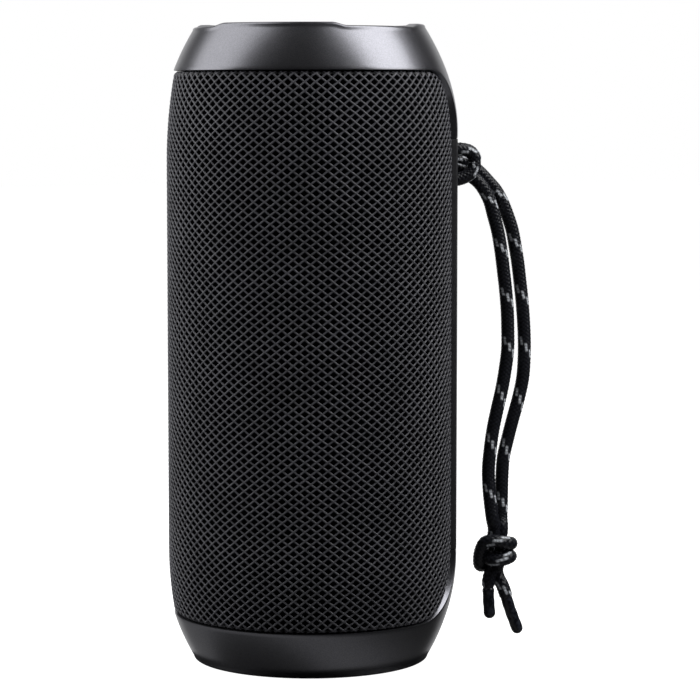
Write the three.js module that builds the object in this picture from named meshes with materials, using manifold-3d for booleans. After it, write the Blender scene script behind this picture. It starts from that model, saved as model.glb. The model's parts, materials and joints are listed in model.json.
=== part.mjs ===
// Cylindrical shower speaker with a cord lanyard, standing on its end.
// Millimetres. +Z runs up the barrel, the origin is the centre of the base, the two drivers
// face -Y, and the control spine with the lanyard bar faces +X.
import * as THREE from 'three';
import { mergeVertices } from 'three/addons/utils/BufferGeometryUtils.js';
import Module from 'manifold-3d';

// Driving dimensions
const HEIGHT = 177;
const SPINE_R = 41;
const FABRIC_R = 40;
const GAP = 0.3;
const WALL = 1.8;

// How far each outline draws in towards the ends: its length, its depth and its power
const BASE_CROWN = { length: 30, drop: 8.5, power: 2.08 };
const TOP_CROWN = { length: 29.5, drop: 9.65, power: 1.95 };
const BASE_TAPER = { length: 31, drop: 4.9, power: 2 };
const TOP_TAPER = { length: 38, drop: 5.3, power: 2 };

// Heights where the fabric and the spine panel stop
const BASE_EDGE = 13.2;
const TOP_EDGE = HEIGHT - 12.8;
const BASE_JOINT = 31;
const TOP_JOINT = 145.6;
const SPINE_HALF = 15;
const BASE_FLARE = 17.8;
const TOP_FLARE = 12;

// End rims
const EDGE_ROUND = 1.2;
const RIM_INNER = 28.6;
const RECESS_R = 26.8;
const RECESS_DEEP = 5.6;
const SEAT_R = 29.1;
const SEAT_DEEP = 10.8;
const LOBES = 3;
const DIP_DEEP = 0.9;
const DIP_ANGLE = 46;
const DIP_FIRST = 183;

// Fabric and what carries it
const FABRIC_THICK = 0.8;
const SLEEVE_THICK = 1.2;
const SLEEVE_ROWS = 4;
const SLEEVE_COLUMNS = 4;
const BARREL_ROWS = 5;

// Acoustic tube: a round wall with a flat for the drivers and one for the spine
const TUBE_R = 34.6;
const TUBE_FRONT = 26;
const TUBE_SIDE = 27;
const TUBE_END = HEIGHT - 11.1;

// Control spine
const PANEL_THICK = 2;
const BUTTON_R = 4.3;
const BUTTON_PITCH = 10.9;
const BUTTON_FIRST = 75.2;
const BUTTON_PROUD = 0.4;
const LIGHT_Z = 68;
const LIGHT_PITCH = 3.5;
const MIC = { y: 9, z: 120 };
const BOARD_X = 28;
const BOARD_THICK = 1.2;

// Port bay and its door
const BAY = { half: 4.3, low: 33.6, high: 64.6, floor: 34, back: 32.8, mouth: 37.4 };
const DOOR_THICK = 1.5;
const DOOR_HALF = 3.9;
const PORTS_Z = { usb: 59, aux: 50.2, card: 40.6 };
const CARD_SLOT = { half: 0.9, length: 5.6 };

// Lanyard pocket, bar and cord
const BAR = { x: 38.5, r: 1.4, low: 124.8, high: 147 };
const POCKET = { half: 8, low: 126, floor: 32.6, wall: 1.2, mouth: 37.4 };
const CORD_R = 1.88;
const CORD_SIDES = 8;
const HITCH = { low: 132, high: 144.4, inner: 5.6, outer: 9, half: 5.6 };
const TIP_R = 1.65;

// Drivers and end radiators
const DRIVER_Z = [55, 122];
const FLANGE_R = 22.6;
const SCREW_RING = 20.8;
const BAFFLE_HOLE = 19.2;
const RADIATOR_LOW = HEIGHT - 7.8;

// Power and electronics
const CELL = { r: 9.2, length: 65, x: 10, y: 16 };
const MAIN_BOARD = { half: 12.5, y: 28, thick: 1.4, low: 40, high: 137 };

// Steps round a full circle
const BIG_STEPS = 48;
const MID_STEPS = 24;
const SMALL_STEPS = 16;

const wasm = await Module();
wasm.setup();

const DEG = Math.PI / 180;
const speaker = new THREE.Group();

// ---------------------------------------------------------------- solids and joins

function dropFlat(geometry) {
  const index = geometry.index.array;
  const kept = [];
  for (let i = 0; i < index.length; i += 3) {
    const [a, b, c] = index.slice(i, i + 3);
    if (a !== b && b !== c && c !== a) kept.push(a, b, c);
  }
  geometry.setIndex(kept);
  return geometry;
}

function volume(geometry) {
  const p = geometry.attributes.position;
  const index = geometry.index.array;
  const [a, b, c] = [new THREE.Vector3(), new THREE.Vector3(), new THREE.Vector3()];
  let sum = 0;
  for (let i = 0; i < index.length; i += 3) {
    a.fromBufferAttribute(p, index[i]);
    b.fromBufferAttribute(p, index[i + 1]);
    c.fromBufferAttribute(p, index[i + 2]);
    sum += a.dot(b.cross(c));
  }
  return sum / 6;
}

// One closed skin with shared corners and its faces pointing out
function weld(raw) {
  const geometry = raw.clone();
  geometry.deleteAttribute('normal');
  geometry.deleteAttribute('uv');
  const welded = dropFlat(mergeVertices(geometry, 1e-4));
  if (volume(welded) < 0) {
    const index = Array.from(welded.index.array);
    for (let i = 0; i < index.length; i += 3) {
      [index[i + 1], index[i + 2]] = [index[i + 2], index[i + 1]];
    }
    welded.setIndex(index);
  }
  return welded;
}

function solid(raw) {
  const geometry = weld(raw);
  const mesh = new wasm.Mesh({
    numProp: 3,
    vertProperties: new Float32Array(geometry.attributes.position.array),
    triVerts: new Uint32Array(geometry.index.array),
  });
  return new wasm.Manifold(mesh);
}

function surface(body) {
  const mesh = body.getMesh();
  const geometry = new THREE.BufferGeometry();
  geometry.setAttribute('position', new THREE.BufferAttribute(mesh.vertProperties, 3));
  geometry.setIndex(Array.from(mesh.triVerts));
  return weld(geometry);
}

const joined = (...bodies) => bodies.reduce((a, b) => a.add(b));
const cut = (body, ...tools) => tools.reduce((a, b) => a.subtract(b), body);

// ---------------------------------------------------------------- simple forms

// A form turned about +Z from a closed outline of [radius, height] points
function turnedRaw(outline, steps = MID_STEPS) {
  const points = outline.map(([r, z]) => new THREE.Vector2(r, z));
  const onAxis = outline[0][0] === 0 && outline.at(-1)[0] === 0;
  if (!onAxis) points.push(points[0].clone());
  return new THREE.LatheGeometry(points, steps).rotateX(Math.PI / 2);
}

const turned = (outline, steps) => solid(turnedRaw(outline, steps));

// The same about an axis that points to -Y, for what faces the front
const turnedFront = (outline, z, steps) =>
  solid(turnedRaw(outline, steps).rotateX(Math.PI / 2).translate(0, 0, z));

const ringOutline = (inner, outer, low, high) => [
  [inner, low],
  [outer, low],
  [outer, high],
  [inner, high],
];

function block(x, y, z) {
  const size = [x, y, z].map(([low, high]) => high - low);
  const middle = [x, y, z].map(([low, high]) => (low + high) / 2);
  return solid(new THREE.BoxGeometry(...size).translate(...middle));
}

// A rod along X, Y or Z between two places on that axis, at the other two coordinates
function rod(axis, radius, [from, to], [u, v], steps = SMALL_STEPS) {
  const raw = new THREE.CylinderGeometry(radius, radius, to - from, steps);
  const middle = (from + to) / 2;
  if (axis === 'x') return solid(raw.rotateZ(-Math.PI / 2).translate(middle, u, v));
  if (axis === 'y') return solid(raw.translate(u, middle, v));
  return solid(raw.rotateX(Math.PI / 2).translate(u, v, middle));
}

// A flat outline in Y and Z pushed out along +X
function pushedX(shape, [from, to], steps = 8) {
  const raw = new THREE.ExtrudeGeometry(shape, { depth: to - from, bevelEnabled: false, curveSegments: steps });
  const turn = new THREE.Matrix4().makeBasis(
    new THREE.Vector3(0, 1, 0),
    new THREE.Vector3(0, 0, 1),
    new THREE.Vector3(1, 0, 0),
  );
  return solid(raw.applyMatrix4(turn).translate(from, 0, 0));
}

// A flat outline in X and Y pushed up along +Z
function pushedZ(shape, [from, to], steps = 8) {
  const raw = new THREE.ExtrudeGeometry(shape, { depth: to - from, bevelEnabled: false, curveSegments: steps });
  return solid(raw.translate(0, 0, from));
}

// A round tube along a smooth curve through the given points
function tube(points, radius, steps, sides = CORD_SIDES) {
  const section = new THREE.Shape();
  section.absarc(0, 0, radius, 0, 2 * Math.PI);
  const route = new THREE.CatmullRomCurve3(points.map((p) => new THREE.Vector3(...p)));
  return new THREE.ExtrudeGeometry(section, { steps, extrudePath: route, curveSegments: sides / 2 });
}

function add(name, form, colour, roughness, metalness = 0) {
  const geometry = form instanceof THREE.BufferGeometry ? weld(form) : surface(form);
  const material = new THREE.MeshStandardMaterial({ color: colour, roughness, metalness });
  const mesh = new THREE.Mesh(geometry, material);
  mesh.name = name;
  speaker.add(mesh);
}

// ---------------------------------------------------------------- barrel outline

const inset = (part, crown) => crown.drop * Math.max(0, 1 - part / crown.length) ** crown.power;
const shellRadius = (z) => SPINE_R - inset(z, BASE_CROWN) - inset(HEIGHT - z, TOP_CROWN);
const fabricRadius = (z) => FABRIC_R - inset(z, BASE_TAPER) - inset(HEIGHT - z, TOP_TAPER);

// [radius, height] points of a wall between two heights, following a radius rule, closest
// together at its ends, where the radius changes most
function wallOutline(radius, low, high, thick, rows) {
  const share = (i) => (1 - Math.cos((Math.PI * i) / rows)) / 2;
  const heights = Array.from({ length: rows + 1 }, (_, i) => low + (high - low) * share(i));
  const outer = heights.map((z) => [radius(z), z]);
  const inner = heights.map((z) => [radius(z) - thick, z]).reverse();
  return [...outer, ...inner];
}

// Outline of the spine in Y and Z: straight sides that flare into the caps with round corners
function spineOutline(spare) {
  const half = SPINE_HALF + spare;
  const across = (s) => SPINE_R * Math.sin(s / SPINE_R);
  const side = [];
  const corner = (edge, flare, sign) => {
    const r = flare - spare;
    const start = edge - sign * flare;
    for (let a = 0; a <= 90; a += 15) {
      side.push([across(half + r - r * Math.cos(a * DEG)), start + sign * r * Math.sin(a * DEG)]);
    }
  };
  corner(BASE_EDGE, BASE_FLARE, -1);
  side.reverse();
  const lowest = [side[0][0], -5];
  corner(TOP_EDGE, TOP_FLARE, 1);
  const right = [lowest, ...side, [side.at(-1)[0], HEIGHT + 5]];
  const left = right.map(([y, z]) => [-y, z]).reverse();
  return new THREE.Shape([...right, ...left].map(([y, z]) => new THREE.Vector2(y, z)));
}

const spineColumn = (spare) => pushedX(spineOutline(spare), [8, 60]);

// ---------------------------------------------------------------- caps and shells

// Half section of the top cap: crown outside, rim, recess, radiator seat and tube socket
function capOutline(crown, joint) {
  const outside = [];
  const rows = 6;
  const start = HEIGHT - joint;
  for (let i = 0; i <= rows; i += 1) {
    const depth = start + ((EDGE_ROUND - start) * i) / rows;
    outside.push([SPINE_R - inset(depth, crown), HEIGHT - depth]);
  }
  const [edge] = outside.at(-1);
  return [
    ...outside,
    [edge - EDGE_ROUND * 0.35, HEIGHT - EDGE_ROUND * 0.3],
    [edge - EDGE_ROUND, HEIGHT],
    [RIM_INNER, HEIGHT],
    [RECESS_R, HEIGHT - 3],
    [RECESS_R, HEIGHT - RECESS_DEEP],
    [SEAT_R, HEIGHT - RECESS_DEEP],
    [SEAT_R, HEIGHT - SEAT_DEEP],
    [TUBE_R + GAP, HEIGHT - SEAT_DEEP],
    [TUBE_R + GAP, HEIGHT - 18],
    [SPINE_R - inset(start, crown) - 2.2, joint],
  ];
}

// The cap as it stands at the top: a ring above the fabric and a tongue down the spine
function capForm(crown, joint, edge) {
  const wall = turned(capOutline(crown, joint), BIG_STEPS);
  const below = block([-60, 60], [-60, 60], [joint - 5, edge]);
  return cut(wall, cut(below, spineColumn(0)));
}

function topCap() {
  let form = capForm(TOP_CROWN, TOP_JOINT, TOP_EDGE);
  const endWall = block([POCKET.floor - POCKET.wall, 39], [-9.2, 9.2], [TOP_JOINT, TOP_JOINT + 1.8]);
  form = joined(form, endWall);
  for (let i = 0; i < LOBES; i += 1) {
    const middle = (DIP_FIRST + (360 / LOBES) * i) * DEG;
    const wedge = new THREE.Shape();
    wedge.moveTo(0, 0);
    wedge.absarc(0, 0, 50, middle - (DIP_ANGLE / 2) * DEG, middle + (DIP_ANGLE / 2) * DEG);
    form = cut(form, pushedZ(wedge, [HEIGHT - DIP_DEEP, HEIGHT + 5]));
  }
  return cut(form, rod('z', BAR.r + GAP, [TOP_JOINT - 1, TOP_JOINT + 3], [BAR.x, 0]));
}

// The base cap is worked out upside down, as a top cap, and turned over
function baseCap() {
  const flip = new THREE.Matrix4().makeScale(1, 1, -1).setPosition(0, 0, HEIGHT);
  const joint = HEIGHT - BASE_JOINT;
  const wall = turned(capOutline(BASE_CROWN, joint), BIG_STEPS);
  const upright = solid(surface(wall).applyMatrix4(flip));
  const above = block([-60, 60], [-60, 60], [BASE_EDGE, BASE_JOINT + 5]);
  return cut(upright, cut(above, spineColumn(0)));
}

function fabricSleeve() {
  const outline = wallOutline(fabricRadius, BASE_EDGE + GAP, TOP_EDGE - GAP, FABRIC_THICK, BARREL_ROWS);
  return cut(turned(outline, BIG_STEPS), spineColumn(GAP));
}

function grilleSleeve() {
  const carried = (z) => fabricRadius(z) - FABRIC_THICK - GAP;
  const low = BASE_EDGE + GAP;
  const high = TOP_EDGE - GAP;
  let form = cut(turned(wallOutline(carried, low, high, SLEEVE_THICK, BARREL_ROWS), BIG_STEPS), spineColumn(GAP));
  const pitch = (high - low) / SLEEVE_ROWS;
  for (let row = 0; row < SLEEVE_ROWS; row += 1) {
    for (let column = 0; column < SLEEVE_COLUMNS; column += 1) {
      const turn = (column - (SLEEVE_COLUMNS - 1) / 2) * 34 * DEG;
      const z = low + pitch * (row + 0.5);
      const window = new THREE.BoxGeometry(15, 20, pitch - 5).translate(0, -38, z).rotateZ(turn);
      form = cut(form, solid(window));
    }
  }
  return form;
}

// Circle with a flat at +X and one at -Y
function flattenedCircle(radius, side, front) {
  const shape = new THREE.Shape();
  const sideTurn = Math.acos(side / radius);
  const frontTurn = Math.asin(front / radius);
  shape.absarc(0, 0, radius, sideTurn, Math.PI + frontTurn);
  shape.absarc(0, 0, radius, 2 * Math.PI - frontTurn, 2 * Math.PI - sideTurn);
  return shape;
}

function acousticTube() {
  const span = [HEIGHT - TUBE_END, TUBE_END];
  let form = pushedZ(flattenedCircle(TUBE_R, TUBE_SIDE, TUBE_FRONT), span, 16);
  const hollow = flattenedCircle(TUBE_R - WALL, TUBE_SIDE - WALL, TUBE_FRONT - WALL);
  form = cut(form, pushedZ(hollow, [0, HEIGHT], 16));
  for (const z of DRIVER_Z) {
    form = cut(form, rod('y', BAFFLE_HOLE, [-30, -20], [0, z], MID_STEPS));
    for (const [x, height] of screwPlaces(z)) form = cut(form, rod('y', 1.1, [-30, -20], [x, height], 8));
  }
  return cut(form, block([20, 30], [-1.5, 5.5], [90, 100]));
}

// ---------------------------------------------------------------- control spine

const buttonHeight = (i) => BUTTON_FIRST + BUTTON_PITCH * i;

const barHole = () => rod('z', BAR.r + GAP, [POCKET.low - 3, POCKET.low + 2], [BAR.x, 0]);

function spinePanel() {
  const low = BASE_JOINT + GAP;
  const high = TOP_JOINT - GAP;
  let form = turned(wallOutline(shellRadius, low, high, PANEL_THICK, 4), BIG_STEPS).intersect(spineColumn(0));

  form = cut(form, block([20, 50], [-POCKET.half, POCKET.half], [POCKET.low, HEIGHT]));
  form = cut(form, block([20, 50], [-BAY.half, BAY.half], [BAY.low, BAY.high]), barHole());
  for (let i = 0; i < 5; i += 1) form = cut(form, rod('x', BUTTON_R + GAP, [30, 50], [0, buttonHeight(i)]));
  for (let i = 0; i < 4; i += 1) form = cut(form, rod('x', 1.1, [30, 50], [LIGHT_PITCH * (i - 1.5), LIGHT_Z], 10));
  return cut(form, rod('x', 0.6, [30, 50], [MIC.y, MIC.z], 8));
}

// Cup behind the cord's window, open outwards and upwards
function lanyardPocket() {
  const { half, low, floor, wall } = POCKET;
  const high = TOP_JOINT - GAP;
  const box = block([floor - wall, POCKET.mouth], [-half - wall, half + wall], [low - 1.6, high]);
  const hollow = block([floor, 50], [-half, half], [low, HEIGHT]);
  return cut(box, hollow, barHole());
}

// Cup behind the port door, with the sockets in its floor
function portBay() {
  const { half, low, high, floor, back } = BAY;
  const box = block([back, BAY.mouth], [-half - 1, half + 1], [low - 1, high + 1]);
  const hollow = block([floor, 50], [-half, half], [low, high]);
  return cut(box, hollow, portOpening('usb', GAP), portOpening('aux', GAP), portOpening('card', GAP));
}

// Raised sign on a button: bars and a triangle, as [width, height, turn] or corners
function signForm(kind, z) {
  const front = [40, SPINE_R + BUTTON_PROUD + 0.35];
  const bar = (width, height) => block(front, [-width / 2, width / 2], [z - height / 2, z + height / 2]);
  if (kind === 'minus') return bar(3.4, 0.8);
  if (kind === 'plus') return joined(bar(3.4, 0.8), bar(0.8, 3.4));
  if (kind === 'play') {
    const corners = [[-1.2, z - 1.6], [1.7, z], [-1.2, z + 1.6]];
    return pushedX(new THREE.Shape(corners.map((c) => new THREE.Vector2(...c))), front);
  }
  if (kind === 'power') {
    const ring = new THREE.Shape();
    ring.absarc(0, z, 2, 130 * DEG, 410 * DEG);
    ring.absarc(0, z, 1.3, 410 * DEG, 130 * DEG, true);
    return joined(pushedX(ring, front, 6), block(front, [-0.35, 0.35], [z + 0.4, z + 2.6]));
  }
  const two = [-1.2, 1.2].map((y) => rod('x', 0.8, front, [y, z], 10));
  return joined(...two, bar(2.4, 0.6));
}

function button(kind, z) {
  const crown = turned(
    [[0, 36.6], [BUTTON_R + 0.6, 36.6], [BUTTON_R + 0.6, 37.6], [BUTTON_R, 37.6], [BUTTON_R, 40.9],
      [BUTTON_R - 0.5, SPINE_R + BUTTON_PROUD - 0.1], [0, SPINE_R + BUTTON_PROUD]],
    SMALL_STEPS,
  );
  const turnedOut = solid(surface(crown).rotateY(Math.PI / 2).translate(0, 0, z));
  return joined(turnedOut, signForm(kind, z));
}

function keypad() {
  let form = block([34.8, 35.3], [-6.2, 6.2], [BUTTON_FIRST - 6, buttonHeight(4) + 5]);
  for (let i = 0; i < 5; i += 1) form = joined(form, rod('x', 2.6, [35, 35.7], [0, buttonHeight(i)], 12));
  return form;
}

function controlBoard() {
  let form = block([BOARD_X, BOARD_X + BOARD_THICK], [-7.5, 7.5], [33.4, 126.4]);
  for (let i = 0; i < 5; i += 1) {
    const z = buttonHeight(i);
    form = joined(form, block([BOARD_X + 1, 32.8], [-3, 3], [z - 3, z + 3]));
    form = joined(form, rod('x', 1.6, [32.6, 34.2], [0, z], 12));
  }
  return form;
}

function lightPipe() {
  let form = block([31, 32], [-6.4, 6.4], [LIGHT_Z - 0.9, LIGHT_Z + 0.9]);
  for (let i = 0; i < 4; i += 1) {
    const y = LIGHT_PITCH * (i - 1.5);
    const tip = Math.sqrt(SPINE_R ** 2 - y ** 2) + 0.05;
    form = joined(form, rod('x', 0.8, [29.6, tip], [y, LIGHT_Z], 10));
  }
  return form;
}

// Rounded outline of a socket, wider across than high when lying along Z
function slotShape(half, length, z) {
  const shape = new THREE.Shape();
  shape.absarc(0, z + length - half, half, 0, Math.PI);
  shape.absarc(0, z - length + half, half, Math.PI, 2 * Math.PI);
  return shape;
}

function portOpening(kind, spare) {
  const through = [20, BAY.floor + 1];
  if (kind === 'usb') return pushedX(slotShape(1.65 + spare, 4.5 + spare, PORTS_Z.usb), through, 6);
  if (kind === 'aux') return rod('x', 2.9 + spare, through, [0, PORTS_Z.aux], 16);
  const { half, length } = CARD_SLOT;
  return block(
    through,
    [-half - spare, half + spare],
    [PORTS_Z.card - length - spare, PORTS_Z.card + length + spare],
  );
}

const SOCKET_SPAN = [BOARD_X + BOARD_THICK + GAP, BAY.floor + 0.2];

function usbSocket() {
  const shell = pushedX(slotShape(1.65, 4.5, PORTS_Z.usb), SOCKET_SPAN, 6);
  const mouth = pushedX(slotShape(1.3, 4.15, PORTS_Z.usb), [SOCKET_SPAN[0] + 0.8, 40], 6);
  const blade = block([SOCKET_SPAN[0] + 0.4, BAY.floor - 0.6], [-0.35, 0.35], [PORTS_Z.usb - 3.3, PORTS_Z.usb + 3.3]);
  return joined(cut(shell, mouth), blade);
}

function auxSocket() {
  const barrel = rod('x', 2.9, SOCKET_SPAN, [0, PORTS_Z.aux], 16);
  return cut(barrel, rod('x', 1.8, [SOCKET_SPAN[0] + 0.8, 40], [0, PORTS_Z.aux], 12));
}

function cardSlot() {
  const { half, length } = CARD_SLOT;
  const z = PORTS_Z.card;
  const shell = block(SOCKET_SPAN, [-half, half], [z - length, z + length]);
  const mouth = block([SOCKET_SPAN[0] + 0.8, 40], [0.4 - half, half - 0.4], [z - length + 0.5, z + length - 0.5]);
  return cut(shell, mouth);
}

// Curved flap with a lip that plugs into the bay
function portDoor() {
  const low = BAY.low + 0.4;
  const high = BAY.high - 0.4;
  const skin = turned(ringOutline(SPINE_R - DOOR_THICK, SPINE_R, low, high), BIG_STEPS);
  const plate = skin.intersect(block([30, 50], [-DOOR_HALF, DOOR_HALF], [low, high]));
  const lip = block([38.8, 40], [-2.1, 3.2], [low + 1.4, high - 1.4]);
  const hollow = block([30, 39.3], [-1.3, 2.4], [low + 2.4, high - 2.4]);
  const pull = block([SPINE_R - 1, SPINE_R + 0.5], [2.2, 3.4], [45, 53]);
  return joined(cut(joined(plate, lip), hollow), pull);
}

// ---------------------------------------------------------------- drivers and radiators

function screwPlaces(z) {
  const d = SCREW_RING / Math.SQRT2;
  return [[d, z + d], [-d, z - d]];
}

function basket(z) {
  const outline = [
    [7.3, 12.6], [13.4, 12.6], [18.6, 26.6], [18.6, 27.2], [FLANGE_R, 27.2], [FLANGE_R, 28.6],
    [18.9, 28.6], [18.9, 27.8], [17.6, 27.8], [17.6, 26.6], [12.6, 13.8], [7.3, 13.8],
  ];
  let form = turnedFront(outline, z);
  for (let i = 0; i < 4; i += 1) {
    const window = new THREE.BoxGeometry(12, 7, 24).translate(0, -19.5, 18).rotateY((90 * i + 45) * DEG);
    form = cut(form, solid(window.translate(0, 0, z)));
  }
  for (const [x, height] of screwPlaces(z)) form = cut(form, rod('y', 1.1, [-30, -26], [x, height], 8));
  return form;
}

function gasket(z) {
  let form = turnedFront(ringOutline(19.4, 22.3, 26.3, 26.9), z);
  for (const [x, height] of screwPlaces(z)) form = cut(form, rod('y', 1.1, [-28, -25], [x, height], 8));
  return form;
}

function magnet(z) {
  const outline = [
    [0, 12.3], [5.7, 12.3], [5.7, 6.8], [7.1, 6.8], [7.1, 12.3], [13, 12.3], [13, 5.3], [0, 5.3],
  ];
  return turnedFront(outline, z);
}

// Half-round roll between two radii, thin all through
function rollOutline(inner, outer, low, rise, thick) {
  const middle = (inner + outer) / 2;
  const half = (outer - inner) / 2;
  const arc = (r, lift) => [0, 60, 120, 180].map((a) => [
    middle - (half - r) * Math.cos(a * DEG),
    low + lift + (rise - lift) * Math.sin(a * DEG),
  ]);
  const over = [[inner, low], ...arc(0, thick).slice(1, -1), [outer, low]];
  const under = [...arc(thick, 0)].map(([r, h]) => [r, h - thick * 0.4]).reverse();
  return [...over, ...under];
}

function domeOutline(radius, low, rise, thick) {
  const arc = (r, lift) => [0, 45, 90].map((a) => [r * Math.cos(a * DEG), low + lift * Math.sin(a * DEG)]);
  const over = arc(radius, rise);
  over[2][0] = 0;
  const under = arc(radius - thick, rise - thick).reverse();
  under[0][0] = 0;
  return [...under, ...over];
}

function addDriver(place, z) {
  add(`${place}_driver_gasket`, gasket(z), 0x222222, 0.9);
  add(`${place}_driver_basket`, basket(z), 0x2a2c30, 0.5, 0.6);
  add(`${place}_driver_magnet`, magnet(z), 0x55585c, 0.4, 0.8);
  add(`${place}_voice_coil`, turnedFront(ringOutline(6, 6.6, 9.5, 19.2), z, SMALL_STEPS), 0x9a5a2c, 0.5, 0.6);
  const cone = [[6.9, 19.2], [15, 27.8], [15, 28.5], [6.9, 19.9]];
  add(`${place}_driver_cone`, turnedFront(cone, z), 0x1c1d1f, 0.8);
  add(`${place}_dust_cap`, turnedFront(domeOutline(6.5, 20.3, 2.4, 0.5), z, SMALL_STEPS), 0x26282b, 0.6);
  add(`${place}_driver_surround`, turnedFront(rollOutline(15.3, 18.6, 28.3, 1.8, 0.5), z), 0x151515, 0.85);
  screwPlaces(z).forEach(([x, height], i) => {
    const head = rod('y', 1.6, [-29.9, -28.9], [x, height], 12);
    const shank = rod('y', 0.8, [-29, -24.4], [x, height], 8);
    add(`${place}_driver_screw_${i + 1}`, joined(head, shank), 0x8a8d90, 0.35, 0.9);
  });
}

function addRadiator(place, turnOver) {
  const at = (outline) => {
    const form = turned(outline, MID_STEPS);
    if (!turnOver) return form;
    const flip = new THREE.Matrix4().makeScale(1, 1, -1).setPosition(0, 0, HEIGHT);
    return solid(surface(form).applyMatrix4(flip));
  };
  const low = RADIATOR_LOW;
  const plate = [[0, low - 2.6], [9, low - 2.6], [9, low + 0.3], [16, low + 0.3], [16, low + 1.7], [0, low + 1.7]];
  add(`${place}_radiator_frame`, at(ringOutline(24.4, 28.8, low, low + 1.9)), 0x202124, 0.6);
  add(`${place}_radiator_surround`, at(rollOutline(16.3, 24.1, low + 0.9, 2.4, 0.6)), 0x121212, 0.85);
  add(`${place}_radiator_plate`, at(plate), 0x3a3c40, 0.4, 0.6);
}

// ---------------------------------------------------------------- power and electronics

function addBattery() {
  const low = (HEIGHT - CELL.length) / 2;
  const high = low + CELL.length;
  ['left', 'right'].forEach((place, i) => {
    const x = CELL.x * (2 * i - 1);
    const can = rod('z', CELL.r, [low, high - 1], [x, CELL.y], 24);
    const button = rod('z', 3, [high - 2, high], [x, CELL.y], 12);
    add(`battery_cell_${place}`, joined(can, button), 0x2f6db0, 0.5);
  });
  const ends = [[low - 2.3, low - GAP], [high + GAP, high + 2.3]];
  let holder = block([-12, 12], [25.6, 27], [low - 2.3, high + 2.3]);
  for (const z of ends) holder = joined(holder, block([-16.5, 16.5], [8, 27], z));
  add('battery_holder', holder, 0x1b1b1d, 0.7);
}

function mainBoard() {
  const { half, y, thick, low, high } = MAIN_BOARD;
  return joined(
    block([-half, half], [y, y + thick], [low, high]),
    block([-6, 6], [y - 1.6, y + 0.2], [126, 136]),
    block([-5, 5], [y - 1.2, y + 0.2], [42, 50]),
    block([6.5, 10.5], [y - 2.6, y + 0.2], [43, 47]),
  );
}

// Flat ribbon standing on edge between the control board and the main board
function ribbon() {
  const path = new THREE.CatmullRomCurve3(
    [[27.6, 2], [23.6, 4], [22.6, 14], [20, 22], [16, 26.6], [13.1, 28.4]].map(([x, y]) => new THREE.Vector3(x, y, 0)),
  );
  const points = path.getPoints(16);
  const sides = [-0.2, 0.2].map((off) => points.map((p, i) => {
    const way = path.getTangent(i / 16);
    return new THREE.Vector2(p.x - way.y * off, p.y + way.x * off);
  }));
  return pushedZ(new THREE.Shape([...sides[0], ...sides[1].reverse()]), [91, 99]);
}

function addLeads() {
  const lead = [[-16, -15, 50], [-20, -9, 47.5], [-22, 2, 46], [-19, 15, 46], [-12.5, 24, 46.5], [-10, 27.5, 47]];
  const raised = lead.map(([x, y, z]) => [x, y, HEIGHT - z]);
  add('lower_speaker_lead', tube(lead, 0.9, 9, 8), 0x8c1c1c, 0.6);
  add('upper_speaker_lead', tube(raised, 0.9, 9, 8), 0x8c1c1c, 0.6);
  const power = [[10, 17, 125], [10, 19.5, 128], [10, 23, 130.5], [10, 27.5, 131]];
  add('battery_lead', tube(power, 0.9, 4, 8), 0x8c1c1c, 0.6);
  add('panel_ribbon', ribbon(), 0xd8d4c4, 0.6);
}

// ---------------------------------------------------------------- lanyard

// Strands from the hitch to the knot, as [x, z], a little to either side of the bar's plane
const STRAND_ASIDE = 1.4;
const OUTER_STRAND = [
  [49.2, 135.8], [52, 132.9], [53.8, 130.9], [55.6, 127.9], [57.2, 124.2], [58.8, 119.5], [59.8, 114.5],
  [60.6, 109.8], [61.2, 104.9], [61.8, 99.9],
  [62.3, 94.2], [62.6, 88.5], [62.6, 82.9], [62.2, 77.2], [61, 71.5], [59.4, 65.8], [57.9, 60.1],
  [56.6, 54.5], [56.2, 48.8], [56.1, 43.1], [56, 37],
];
const INNER_STRAND = [
  [48.6, 132.6], [51.3, 128.1], [52.5, 124], [53.8, 119.3], [54.8, 113.7], [55.5, 108.4], [56.2, 102.7],
  [56.7, 97.1],
  [56.9, 91.4], [56.9, 85.7], [56.2, 80], [55.2, 74.3], [53.9, 68.7], [52.7, 63], [51.9, 57.3],
  [51.4, 51.6], [51.6, 45.9], [52.2, 40.4], [52.5, 37],
];
const KNOT = { x: 53.7, y: 0, z: 26.2, wide: 6.3, high: 8.4, deep: 5.6 };
const TIPS = {
  left_cord_tip: [[51.9, 0, 17.4], [52, 0, 14], [52.3, 0, 8.4]],
  right_cord_tip: [[56.6, 0, 16.4], [58.3, 0, 11], [60.9, 0, 3.8]],
};

function hitch() {
  const oval = new THREE.Shape();
  const length = (HITCH.inner + HITCH.outer) / 2;
  oval.absellipse(BAR.x + (HITCH.outer - HITCH.inner) / 2, 0, length, HITCH.half, 0, 2 * Math.PI);
  const form = pushedZ(oval, [HITCH.low, HITCH.high], 12);
  return cut(form, rod('z', BAR.r + GAP, [HITCH.low - 1, HITCH.high + 1], [BAR.x, 0], 16));
}

function knot() {
  const ball = new THREE.SphereGeometry(1, 12, 8).rotateX(Math.PI / 2);
  return ball.scale(KNOT.wide, KNOT.deep, KNOT.high).translate(KNOT.x, KNOT.y, KNOT.z);
}

function addLanyard() {
  const standing = (strand, y) => strand.map(([x, z]) => [x, y, z]);
  add('lanyard_bar', rod('z', BAR.r, [BAR.low, BAR.high], [BAR.x, 0], 16), 0x9a9da2, 0.3, 0.9);
  add('lanyard_hitch', hitch(), 0x18181a, 0.9);
  add('outer_strand', tube(standing(OUTER_STRAND, STRAND_ASIDE), CORD_R, 18), 0x18181a, 0.9);
  add('inner_strand', tube(standing(INNER_STRAND, -STRAND_ASIDE), CORD_R, 18), 0x18181a, 0.9);
  add('lanyard_knot', knot(), 0x18181a, 0.9);
  for (const [name, route] of Object.entries(TIPS)) add(name, tube(route, TIP_R, 4), 0x101012, 0.3);
}

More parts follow.
